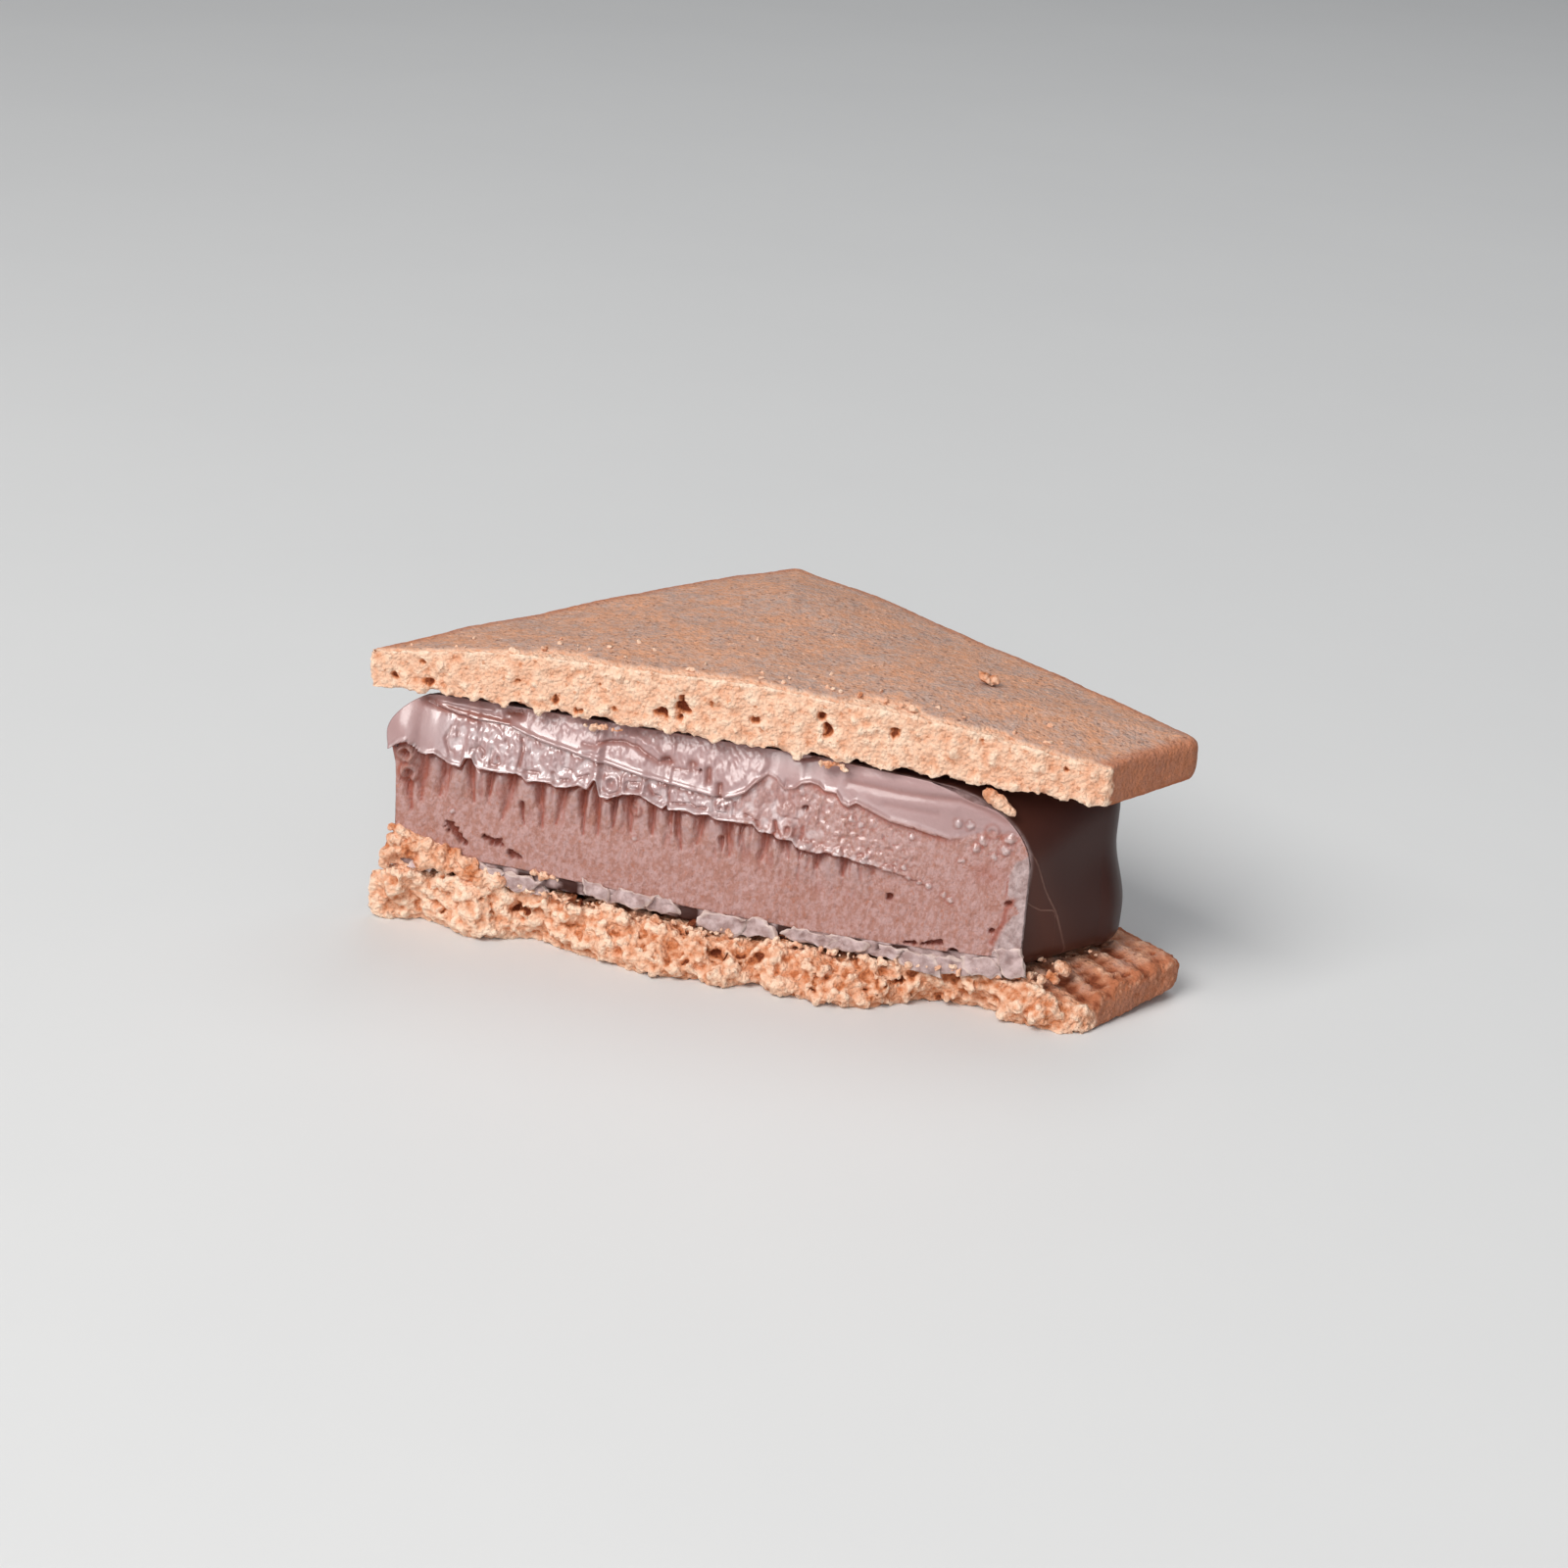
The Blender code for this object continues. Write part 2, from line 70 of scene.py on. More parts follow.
# How far each biscuit reaches past the square: (left, back, right).
TOP_SPREAD = (0.75 * MM, 0.7 * MM, 0.35 * MM)
BOTTOM_SPREAD = (0.55 * MM, 1.1 * MM, 0.9 * MM)
INSET_LEFT = 1.7 * MM
INSET_RIGHT = 4.3 * MM
INSET_BACK = 2.3 * MM

SLANT = math.atan2(BACK_EDGE, LONG_EDGE - SHORT_EDGE)
CUT_LENGTH = math.hypot(BACK_EDGE, LONG_EDGE - SHORT_EDGE)
ALONG = Vector((math.cos(SLANT), math.sin(SLANT)))
ACROSS = Vector((math.sin(SLANT), -math.cos(SLANT)))
FRONT_LEFT = Vector((-CUT_LENGTH / 2, 0))
FRONT_RIGHT = Vector((CUT_LENGTH / 2, 0))
BACK_LEFT = FRONT_LEFT + LONG_EDGE * ALONG
BACK_RIGHT = FRONT_RIGHT + SHORT_EDGE * ALONG
CUT_MIDDLE = Vector((-3.813 * MM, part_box("coating")[0].y, 0))
print("the cut is", round(CUT_LENGTH / MM, 1), "mm long; its middle lies at", [round(v / MM, 2) for v in CUT_MIDDLE])

# %% Heights of the layers
TOP_EDGE_HEIGHT = 25.6 * MM
TOP_UNDERSIDE = 21.75 * MM
TOP_CROWN = 2.1 * MM
CROWN_WIDTH = 9.0 * MM
CORNER_DROOP = 0.7 * MM
DROOP_WIDTH = 9.0 * MM
LEAN_RIGHT = 0.021
RISE_BACK = 0.006
BED_ALONG_CUT = ((-33, 5.3), (-21, 5.6), (-11, 5.0), (-2, 4.3), (8, 3.9), (16, 3.9), (25, 4.15), (40, 4.1))
BED_AT_BACK = 4.6 * MM
BED_FADE = 12.0 * MM
GAP = 0.3 * MM
print("room for the filling at the back:", round((TOP_UNDERSIDE - BED_AT_BACK) / MM, 2), "mm")

# %% [markdown]
# ## Small helpers
#
# Mesh points are moved as whole numpy arrays, which is far faster than one vertex at a time. `ease` is the smooth
# step that blends one form into another, `hump` is a soft bump, and `grain` is a random field with lumps of a given
# size. The same seed always gives the same field. `span` is an ease at both ends of a stretch.

# %% Moving points
def points_of(piece):
    points = np.empty(len(piece.data.vertices) * 3)
    piece.data.vertices.foreach_get("co", points)
    return points.reshape(-1, 3)


def normals_of(piece):
    normals = np.empty(len(piece.data.vertices) * 3)
    piece.data.vertices.foreach_get("normal", normals)
    return normals.reshape(-1, 3)


def move_points(piece, points):
    piece.data.vertices.foreach_set("co", points.ravel())
    piece.data.update()


def paint(piece, name, values):
    """Writes one number for each point, which a material or a node tree reads by its name."""
    layer = piece.data.attributes.get(name) or piece.data.attributes.new(name, "FLOAT", "POINT")
    layer.data.foreach_set("value", np.asarray(values, np.float32))


def ease(low, high, value):
    part = np.clip((value - low) / (high - low), 0, 1)
    return part * part * (3 - 2 * part)


def hump(distance, width):
    return np.exp(-((distance / width) ** 2))


def grain(points, size, seed):
    rows = points / np.asarray(size) + seed * np.array([17.3, 5.9, 11.1])
    return np.array([noise.noise(row) for row in rows.tolist()])


def span(rise, full, falls, gone, value):
    """1 between two places, with a soft rise before it and a soft fall after it."""
    return ease(rise, full, value) * ease(gone, falls, value)


print("ease from 0 to 1:", [round(float(ease(0, 1, part)), 2) for part in (0, 0.25, 0.5, 0.75, 1)])


# %% Objects and modifiers
def mesh_object(name, mesh):
    made = bpy.data.objects.new(name, mesh)
    bpy.context.scene.collection.objects.link(made)
    return made


def shaped_object(name, shape):
    """Turns a bmesh into an object, and frees it."""
    mesh = bpy.data.meshes.new(name)
    shape.to_mesh(mesh)
    shape.free()
    return mesh_object(name, mesh)


def dress(piece, material):
    piece.data.materials.clear()
    piece.data.materials.append(material)


def stay_above(piece, height):
    points = points_of(piece)
    points[:, 2] = np.maximum(points[:, 2], height)
    move_points(piece, points)
    return points


def apply_modifiers(piece):
    graph = bpy.context.evaluated_depsgraph_get()
    finished = bpy.data.meshes.new_from_object(piece.evaluated_get(graph), depsgraph=graph)
    piece.modifiers.clear()
    piece.data = finished


def even_mesh(piece, voxel):
    """Wraps everything in the object in one closed skin of small even faces."""
    remesh = piece.modifiers.new("Even mesh", "REMESH")
    remesh.mode = "VOXEL"
    remesh.voxel_size = voxel
    apply_modifiers(piece)


def triangles(piece):
    piece.data.calc_loop_triangles()
    return len(piece.data.loop_triangles)


def hand_over(piece, slot, *nodes):
    """Moves a finished piece from the cut's frame to its place, hangs it under the root, and hides the plain solids
    it replaces.
    """
    move_points(piece, points_of(piece) + np.array(CUT_MIDDLE))
    piece.data.shade_smooth()
    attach(piece, "root")
    if nodes:
        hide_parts(*nodes)
    print(piece.name, triangles(piece), "triangles")


# %% [markdown]
# ## Node trees from a script
#
# Both shader and geometry trees are built with the same two helpers: `add` makes a node and links or fills its
# sockets, and `calc` is a Math node.

# %% Building trees
def add(tree, kind, inputs=(), **settings):
    made = tree.nodes.new(kind)
    for name, value in settings.items():
        setattr(made, name, value)
    for socket, value in dict(inputs).items():
        if isinstance(value, bpy.types.NodeSocket):
            tree.links.new(value, made.inputs[socket])
        else:
            made.inputs[socket].default_value = value
    return made


def calc(tree, operation, *values):
    return add(tree, "ShaderNodeMath", dict(enumerate(values)), operation=operation).outputs[0]


def new_tree(name, kind, inputs, outputs):
    tree = bpy.data.node_groups.new(name, kind)
    for label, socket, value in inputs:
        made = tree.interface.new_socket(label, in_out="INPUT", socket_type=socket)
        if value is not None:
            made.default_value = value
    for label, socket in outputs:
        tree.interface.new_socket(label, in_out="OUTPUT", socket_type=socket)
    return tree, tree.nodes.new("NodeGroupInput"), tree.nodes.new("NodeGroupOutput")


def say_inputs(tree):
    print(tree.name, "takes", [item.name for item in tree.interface.items_tree if item.in_out == "INPUT"])


def end_tree(tree, geometry, material, end):
    """A geometry tree ends in Realize Instances and Set Material."""
    real = add(tree, "GeometryNodeRealizeInstances", {"Geometry": geometry})
    dressed = add(tree, "GeometryNodeSetMaterial", {"Geometry": real.outputs[0], "Material": material})
    tree.links.new(dressed.outputs[0], end.inputs["Geometry"])


def run_tree(piece, tree, **values):
    """Puts a geometry tree on the piece, sets its inputs by identifier, and keeps the result as a plain mesh."""
    modifier = piece.modifiers.new(tree.name, "NODES")
    modifier.node_group = tree
    for item in tree.interface.items_tree:
        label = item.name.replace(" ", "_").lower()
        if item.in_out == "INPUT" and label in values:
            modifier[item.identifier] = values[label]
    apply_modifiers(piece)


# %% [markdown]
# ## Colours
#
# The numbers below are the colours as a screen shows them, from 0 to 255. Blender wants linear light, so `tone`
# converts them. Cocoa biscuit is paler than one expects where it is broken, and browner where it was baked.

# %% Palette
def tone(red, green, blue):
    linear = [(v / 255 / 12.92) if v < 11 else ((v / 255 + 0.055) / 1.055) ** 2.4 for v in (red, green, blue)]
    return (*linear, 1)


CRUMB_CREAM = tone(255, 224, 198)
CRUMB_PALE = tone(248, 202, 172)
CRUMB_WARM = tone(234, 174, 140)
CRUMB_ORANGE = tone(204, 124, 80)
# Painted shade in the crumb's deep gaps and in the grooves of the print.
CRUMB_GAP_SHADE = tone(118, 54, 30)
SKIN_GREY = tone(190, 162, 150)
SKIN_BROWN = tone(226, 164, 128)
SKIN_SPECK = tone(104, 66, 52)
TOAST = tone(180, 108, 74)
GANACHE_MAUVE = tone(192, 152, 147)
GANACHE_BROWN = tone(166, 112, 96)
GANACHE_RUST = tone(172, 104, 76)
# The smear's greyer colour, which also lays painted highlights on the ribs.
GANACHE_SMEAR = tone(170, 135, 133)
# Red-brown of painted shade, on the body and on the smear; the first also colours the rusty vein and fine scratches.
GANACHE_DEEP = tone(150, 58, 26)
GANACHE_CREASE = tone(138, 74, 58)
# Painted highlight.
GANACHE_HIGHLIGHT = tone(222, 206, 206)
# Painted shade inside holes.
GANACHE_PIT = tone(118, 44, 22)
COAT_DARK = tone(62, 32, 26)
COAT_WARM = tone(80, 44, 34)
COAT_CUT = tone(156, 128, 124)
COAT_CUT_PALE = tone(196, 172, 170)
# Painted highlight on the edges of broken plates.
COAT_EDGE_HIGHLIGHT = tone(228, 206, 196)
COAT_CREASE = tone(132, 96, 84)
print("pale crumb in linear light:", [round(part, 3) for part in CRUMB_PALE[:3]])

# %% [markdown]
# ## Shader groups that several finishes share
#
# Three effects turn up on biscuit and on chocolate alike, so each is a node group with named sockets. `Mottle` mixes
# two colours in soft patches. `Fine grain` is a height for a Bump node, made of a rough noise and small round cells.
# `Specks` is a mask of scattered dots. They only put out colours and numbers: the Principled shader itself stays in
# each material.

# %% Mottle, fine grain and specks
def build_mottle():
    sockets = [("Vector", "NodeSocketVector", None), ("Size", "NodeSocketFloat", 2 * MM),
               ("Contrast", "NodeSocketFloat", 3.0), ("First", "NodeSocketColor", None),
               ("Second", "NodeSocketColor", None)]
    tree, start, end = new_tree("Mottle", "ShaderNodeTree", sockets, [("Color", "NodeSocketColor")])
    scale = calc(tree, "DIVIDE", 1.0, start.outputs["Size"])
    cloud = add(tree, "ShaderNodeTexNoise", {"Vector": start.outputs["Vector"], "Scale": scale, "Detail": 5.0,
                                             "Roughness": 0.62})
    centred = calc(tree, "SUBTRACT", cloud.outputs["Fac"], 0.5)
    strong = calc(tree, "MULTIPLY_ADD", centred, start.outputs["Contrast"], 0.5)
    mask = add(tree, "ShaderNodeClamp", {"Value": strong}).outputs[0]
    mixed = add(tree, "ShaderNodeMix", {0: mask, 6: start.outputs["First"], 7: start.outputs["Second"]},
                data_type="RGBA")
    tree.links.new(mixed.outputs[2], end.inputs["Color"])
    return tree


def build_fine_grain():
    sockets = [("Vector", "NodeSocketVector", None), ("Size", "NodeSocketFloat", 0.5 * MM),
               ("Cells", "NodeSocketFloat", 0.5)]
    tree, start, end = new_tree("Fine grain", "ShaderNodeTree", sockets, [("Height", "NodeSocketFloat")])
    scale = calc(tree, "DIVIDE", 1.0, start.outputs["Size"])
    rough = add(tree, "ShaderNodeTexNoise", {"Vector": start.outputs["Vector"], "Scale": scale, "Detail": 4.0,
                                             "Roughness": 0.65})
    cells = add(tree, "ShaderNodeTexVoronoi", {"Vector": start.outputs["Vector"], "Scale": scale})
    weighted = calc(tree, "MULTIPLY", cells.outputs["Distance"], start.outputs["Cells"])
    height = calc(tree, "SUBTRACT", rough.outputs["Fac"], weighted)
    tree.links.new(height, end.inputs["Height"])
    return tree


def build_specks():
    sockets = [("Vector", "NodeSocketVector", None), ("Spacing", "NodeSocketFloat", 1 * MM),
               ("Radius", "NodeSocketFloat", 0.3), ("Share", "NodeSocketFloat", 0.4)]
    tree, start, end = new_tree("Specks", "ShaderNodeTree", sockets, [("Mask", "NodeSocketFloat")])
    place, spacing = start.outputs["Vector"], start.outputs["Spacing"]
    scale = calc(tree, "DIVIDE", 1.0, spacing)
    warp = add(tree, "ShaderNodeTexNoise", {"Vector": place, "Scale": calc(tree, "MULTIPLY", scale, 2.0),
                                            "Detail": 2.0})
    centred = add(tree, "ShaderNodeVectorMath", {0: warp.outputs["Color"], 1: (0.5, 0.5, 0.5)}, operation="SUBTRACT")
    pushed = add(tree, "ShaderNodeVectorMath", {0: centred.outputs[0], "Scale": calc(tree, "MULTIPLY", spacing, 1.3)},
                 operation="SCALE")
    ragged = add(tree, "ShaderNodeVectorMath", {0: place, 1: pushed.outputs[0]}, operation="ADD")
    cells = add(tree, "ShaderNodeTexVoronoi", {"Vector": ragged.outputs[0], "Scale": scale})
    inside = calc(tree, "SUBTRACT", start.outputs["Radius"], cells.outputs["Distance"])
    inside = add(tree, "ShaderNodeClamp", {"Value": calc(tree, "MULTIPLY", inside, 9.0)}).outputs[0]
    chance = add(tree, "ShaderNodeSeparateColor", {"Color": cells.outputs["Color"]})
    chosen = calc(tree, "LESS_THAN", chance.outputs[0], start.outputs["Share"])
    tree.links.new(calc(tree, "MULTIPLY", inside, chosen), end.inputs["Mask"])
    return tree


MOTTLE = build_mottle()
FINE_GRAIN = build_fine_grain()
SPECKS = build_specks()
for shared in (MOTTLE, FINE_GRAIN, SPECKS):
    say_inputs(shared)


# %% Shortcuts for use inside a material
def new_material(name, roughness=0.5, **constants):
    made = bpy.data.materials.new(name)
    made.use_nodes = True
    tree = made.node_tree
    shader = tree.nodes["Principled BSDF"]
    shader.inputs["Roughness"].default_value = roughness
    for label, value in constants.items():
        shader.inputs[label.replace("_", " ").title().replace("Ior", "IOR")].default_value = value
    place = tree.nodes.new("ShaderNodeTexCoord").outputs["Object"]
    return made, tree, shader, place


def painted(tree, name):
    return add(tree, "ShaderNodeAttribute", attribute_name=name).outputs["Fac"]


def group(tree, shared, **inputs):
    made = add(tree, "ShaderNodeGroup", node_tree=shared)
    for label, value in inputs.items():
        socket = made.inputs[label.title()]
        if isinstance(value, bpy.types.NodeSocket):
            tree.links.new(value, socket)
        else:
            socket.default_value = value
    return made.outputs[0]


def blend_colors(tree, mask, first, second):
    return add(tree, "ShaderNodeMix", {0: mask, 6: first, 7: second}, data_type="RGBA").outputs[2]


def ramp(tree, value, *stops):
    """A Color Ramp through (place, color) stops."""
    made = add(tree, "ShaderNodeValToRGB", {"Fac": value})
    marks = made.color_ramp.elements
    while len(marks) < len(stops):
        marks.new(0.5)
    for mark, (place, color) in zip(marks, stops):
        mark.position = place
        mark.color = color
    return made.outputs["Color"]


def bump_normal(tree, height, distance):
    return add(tree, "ShaderNodeBump", {"Height": height, "Distance": distance}).outputs[0]


# %% [markdown]
# ## Finish: baked cocoa biscuit
#
# One material dresses both biscuits. Four painted numbers steer it. `crumb` is 1 where the biscuit is broken and 0
# on its baked skin. The second runs from 0 on a crumb that stands proud to 1 in a deep gap, and a ramp turns it from
# lit cream to red-brown shade, as light does inside a real crumb: this is painted light. The third browns the baked
# edges and also paints shade into hollows and the print, and `groove` is painted shade in the grooves of the print,
# in hollows and in pores. The skin is greyer than the crumb, with warm patches and fine dark pores.

# %% Biscuit material
def biscuit_material():
    made, tree, shader, place = new_material("cocoa_biscuit", 0.85, specular_ior_level=0.2)
    crumb = painted(tree, "crumb")
    cloud = add(tree, "ShaderNodeTexNoise", {"Vector": place, "Scale": 1 / (1.7 * MM), "Detail": 8.0,
                                             "Roughness": 0.78})
    centred = calc(tree, "SUBTRACT", cloud.outputs["Fac"], 0.5)
    # Painted light: crumbs that stand proud are lit cream, and the colour runs through orange to red-brown shade in
    # deep gaps.
    uneven = calc(tree, "ADD", centred, painted(tree, "relief_shade"))
    inside = ramp(tree, uneven, (0.05, CRUMB_CREAM), (0.28, CRUMB_PALE), (0.48, CRUMB_WARM), (0.72, CRUMB_ORANGE),
                  (1.0, CRUMB_GAP_SHADE))
    brown_bits = group(tree, SPECKS, vector=place, spacing=0.7 * MM, radius=0.3, share=0.25)
    inside = blend_colors(tree, calc(tree, "MULTIPLY", brown_bits, 0.6), inside, CRUMB_ORANGE)
    skin = group(tree, MOTTLE, vector=place, size=3.6 * MM, contrast=5.0, first=SKIN_GREY, second=SKIN_BROWN)
    fine = group(tree, MOTTLE, vector=place, size=0.6 * MM, contrast=6.0, first=SKIN_GREY, second=SKIN_BROWN)
    skin = blend_colors(tree, 0.5, skin, fine)
    dusk = group(tree, MOTTLE, vector=place, size=0.9 * MM, contrast=5.0, first=skin, second=SKIN_SPECK)
    skin = blend_colors(tree, 0.22, skin, dusk)
    pores = group(tree, SPECKS, vector=place, spacing=0.6 * MM, radius=0.32, share=0.4)
    skin = blend_colors(tree, calc(tree, "MULTIPLY", pores, 0.6), skin, SKIN_SPECK)
    grit = group(tree, SPECKS, vector=place, spacing=0.8 * MM, radius=0.24, share=0.2)
    skin = blend_colors(tree, calc(tree, "MULTIPLY", grit, 0.7), skin, CRUMB_PALE)
    # Real browning of the baked edges with painted shade in hollows and the print, then painted shade in the print's
    # grooves and pores.
    skin = blend_colors(tree, painted(tree, "toast_and_shade"), skin, TOAST)
    skin = blend_colors(tree, painted(tree, "groove"), skin, CRUMB_GAP_SHADE)
    tree.links.new(blend_colors(tree, crumb, skin, inside), shader.inputs["Base Color"])
    grains = group(tree, FINE_GRAIN, vector=place, size=0.34 * MM, cells=0.9)
    coarse = group(tree, FINE_GRAIN, vector=place, size=0.8 * MM, cells=0.3)
    height = calc(tree, "MULTIPLY_ADD", grains, calc(tree, "MULTIPLY_ADD", crumb, 0.4, 0.6), coarse)
    tree.links.new(bump_normal(tree, height, 0.22 * MM), shader.inputs["Normal"])
    return made


BISCUIT = biscuit_material()
print(BISCUIT.name, "has", len(BISCUIT.node_tree.nodes), "nodes")

# %% [markdown]
# ## Finish: ganache and coat
#
# Cut ganache looks mauve, because its dull face scatters the daylight, and it turns red-brown wherever light has to
# find its way into a groove. The smear that the knife pulled down is wetter: lower roughness, greyer colour. The
# coat is the same family, but it set against air, so it is dark and satin. Where the knife broke the coat, its rim
# is pale and dull, and its creases show a thin light line.

# %% Ganache and coat materials
def broken_coat(tree, place):
    """The dull lilac of chocolate that was snapped, which shows on the coat's rim and where the ganache laps it."""
    return group(tree, MOTTLE, vector=place, size=0.9 * MM, contrast=4.0, first=COAT_CUT, second=COAT_CUT_PALE)


def ganache_material():
    made, tree, shader, place = new_material("cut_ganache", 0.5, specular_ior_level=0.6, coat_roughness=0.2,
                                             coat_ior=1.75)
    smear, wet = painted(tree, "smear"), painted(tree, "wet")
    tall = add(tree, "ShaderNodeMapping", {"Vector": place, "Scale": (1, 1, 0.7)}).outputs[0]
    patchy = group(tree, MOTTLE, vector=place, size=2.2 * MM, contrast=2.4, first=GANACHE_BROWN,
                   second=GANACHE_MAUVE)
    fine = group(tree, MOTTLE, vector=tall, size=0.4 * MM, contrast=6.0, first=GANACHE_BROWN,
                 second=GANACHE_MAUVE)
    color = blend_colors(tree, 0.65, patchy, fine)
    rust = group(tree, SPECKS, vector=tall, spacing=0.55 * MM, radius=0.3, share=0.22)
    color = blend_colors(tree, calc(tree, "MULTIPLY", rust, 0.55), color, GANACHE_RUST)
    color = blend_colors(tree, painted(tree, "lilac"), color, broken_coat(tree, place))
    # The smear's own colour, and painted highlights on the ribs.
    color = blend_colors(tree, smear, color, GANACHE_SMEAR)
    # Painted shade in grooves, creases, dips and under the curtains; the rusty vein and fine scratches in it are
    # real.
    deep = blend_colors(tree, smear, GANACHE_DEEP, GANACHE_CREASE)
    color = blend_colors(tree, painted(tree, "recess"), color, deep)
    # Painted shade inside holes and slits.
    color = blend_colors(tree, painted(tree, "pit"), color, GANACHE_PIT)
    # Painted highlights on bead tops, along the lip's rolled rim, and as glints in the band under the fold.
    color = blend_colors(tree, painted(tree, "painted_highlight"), color, GANACHE_HIGHLIGHT)
    tree.links.new(color, shader.inputs["Base Color"])
    tree.links.new(calc(tree, "MULTIPLY_ADD", wet, -0.15, 0.5), shader.inputs["Roughness"])
    tree.links.new(wet, shader.inputs["Coat Weight"])
    grains = group(tree, FINE_GRAIN, vector=tall, size=0.26 * MM, cells=0.4)
    matte = calc(tree, "MULTIPLY_ADD", smear, -0.8, 1.0)
    tree.links.new(bump_normal(tree, calc(tree, "MULTIPLY", grains, matte), 0.14 * MM), shader.inputs["Normal"])
    return made


def thin_line(tree, distance, width):
    """1 on a line, 0 away from it, from a painted distance in millimetres."""
    near = calc(tree, "DIVIDE", calc(tree, "ABSOLUTE", distance), width)
    return add(tree, "ShaderNodeClamp", {"Value": calc(tree, "SUBTRACT", 1.5, near)}).outputs[0]


def coat_material():
    made, tree, shader, place = new_material("dipping_chocolate", 0.4, specular_ior_level=0.26)
    rim = painted(tree, "rim")
    # Painted shade where the rim at the foot is torn out.
    cut = blend_colors(tree, painted(tree, "gap"), broken_coat(tree, place), COAT_DARK)
    # A pale painted highlight along the edges of the broken plates.
    cut = blend_colors(tree, painted(tree, "edge"), cut, COAT_EDGE_HIGHLIGHT)
    skin = blend_colors(tree, painted(tree, "warm"), COAT_DARK, COAT_WARM)
    faint = add(tree, "ShaderNodeTexNoise", {"Vector": place, "Scale": 1 / (1.5 * MM)}).outputs["Fac"]
    lines = calc(tree, "MAXIMUM", thin_line(tree, painted(tree, "crease"), 0.09),
                 thin_line(tree, painted(tree, "crack"), 0.07))
    lines = calc(tree, "MULTIPLY", calc(tree, "MULTIPLY", lines, painted(tree, "creased")), faint)
    skin = blend_colors(tree, lines, skin, COAT_CREASE)
    tree.links.new(blend_colors(tree, rim, skin, cut), shader.inputs["Base Color"])
    tree.links.new(calc(tree, "MULTIPLY_ADD", rim, 0.08, 0.4), shader.inputs["Roughness"])
    grains = group(tree, FINE_GRAIN, vector=place, size=0.5 * MM, cells=0.2)
    height = calc(tree, "MULTIPLY", grains, calc(tree, "MULTIPLY_ADD", rim, 0.8, 0.05))
    tree.links.new(bump_normal(tree, height, 0.08 * MM), shader.inputs["Normal"])
    return made


GANACHE = ganache_material()
CHOCOLATE = coat_material()
print(GANACHE.name, len(GANACHE.node_tree.nodes), "nodes,", CHOCOLATE.name, len(CHOCOLATE.node_tree.nodes), "nodes")

# %% [markdown]
# ## The biscuit blank
#
# A biscuit starts as a flat outline with an extrusion: two round corners that were baked, and two sharp ones where
# the cut meets the edges. Its baked rims are bevelled and the cut edge stays sharp. A voxel remesh then turns it into
# thousands of even faces, which is what sculpt-like moves need.

# %% Outline and blank
BAKED_EDGE = 1.1 * MM
BACK_RIGHT_RADIUS = 1.6 * BAKED_CORNER
BACK_LEFT_RADIUS = 1.3 * BAKED_CORNER
BLANK_THICKNESS = 4.6 * MM
BISCUIT_VOXEL = 0.26 * MM
CORNER_STEPS = 4


def corner_arc(corner, before, after, radius):
    """Points of a round corner of a flat outline."""
    back = (before - corner).normalized()
    ahead = (after - corner).normalized()
    half = back.angle(ahead) / 2
    centre = corner + (back + ahead).normalized() * radius / math.sin(half)
    start = corner + back * radius / math.tan(half) - centre
    side = 1 if back.x * ahead.y - back.y * ahead.x < 0 else -1
    turn = side * (math.pi - 2 * half) / CORNER_STEPS
    arc = []
    for step in range(CORNER_STEPS + 1):
        swung = Matrix.Rotation(turn * step, 2) @ start
        arc.append(centre + swung)
    return arc


def biscuit_outline(spread):
    left, back, right = spread
    corners = [FRONT_LEFT - Vector((left / ACROSS.x, 0)), FRONT_RIGHT + Vector((right / ACROSS.x, 0)),
               BACK_RIGHT + right * ACROSS + back * ALONG, BACK_LEFT - left * ACROSS + back * ALONG]
    radii = [CUT_CORNER, CUT_CORNER, BACK_RIGHT_RADIUS, BACK_LEFT_RADIUS]
    outline = []
    for place, corner in enumerate(corners):
        outline += corner_arc(corner, corners[place - 1], corners[(place + 1) % 4], radii[place])
    return outline


def biscuit_blank(name, spread):
    shape = bmesh.new()
    bottom = [shape.verts.new((place.x, place.y, 0)) for place in biscuit_outline(spread)]
    face = shape.faces.new(bottom)
    raised = bmesh.ops.extrude_face_region(shape, geom=[face])["geom"]
    lifted = [part for part in raised if isinstance(part, bmesh.types.BMVert)]
    bmesh.ops.translate(shape, verts=lifted, vec=(0, 0, BLANK_THICKNESS))
    rims = [edge for edge in shape.edges
            if abs(edge.verts[0].co.z - edge.verts[1].co.z) < 0.01 * MM
            and max(corner.co.y for corner in edge.verts) > CUT_CORNER]
    bmesh.ops.bevel(shape, geom=rims, offset=BAKED_EDGE, segments=4, profile=0.5, affect="EDGES")
    bmesh.ops.recalc_face_normals(shape, faces=shape.faces)
    piece = shaped_object(name, shape)
    even_mesh(piece, BISCUIT_VOXEL)
    print(name, "blank has", len(piece.data.vertices), "points")
    return piece


# %% Distances on the blank
def along_and_across(points):
    """Distance from the corner at the left end of the cut, along the long baked edge and across it."""
    x, y = points[:, 0] - FRONT_LEFT.x, points[:, 1]
    return x * ALONG.x + y * ALONG.y, x * ACROSS.x + y * ACROSS.y


def from_baked_edge(points):
    along, across = along_and_across(points)
    return np.minimum(np.minimum(across, BACK_EDGE - across), LONG_EDGE - along)


def line(table, x):
    """Value of a drawn line at x, both in millimetres."""
    return np.interp(x, [row[0] for row in table], [row[1] for row in table])


def profile(table, x):
    """Smooth height in metres at x, from a short list of (x, height) points in millimetres."""
    places = np.array([row[0] for row in table]) * MM
    heights = np.array([row[1] for row in table]) * MM
    return sum(np.interp(x + step * MM, places, heights) for step in (-1.5, -0.75, 0, 0.75, 1.5)) / 5


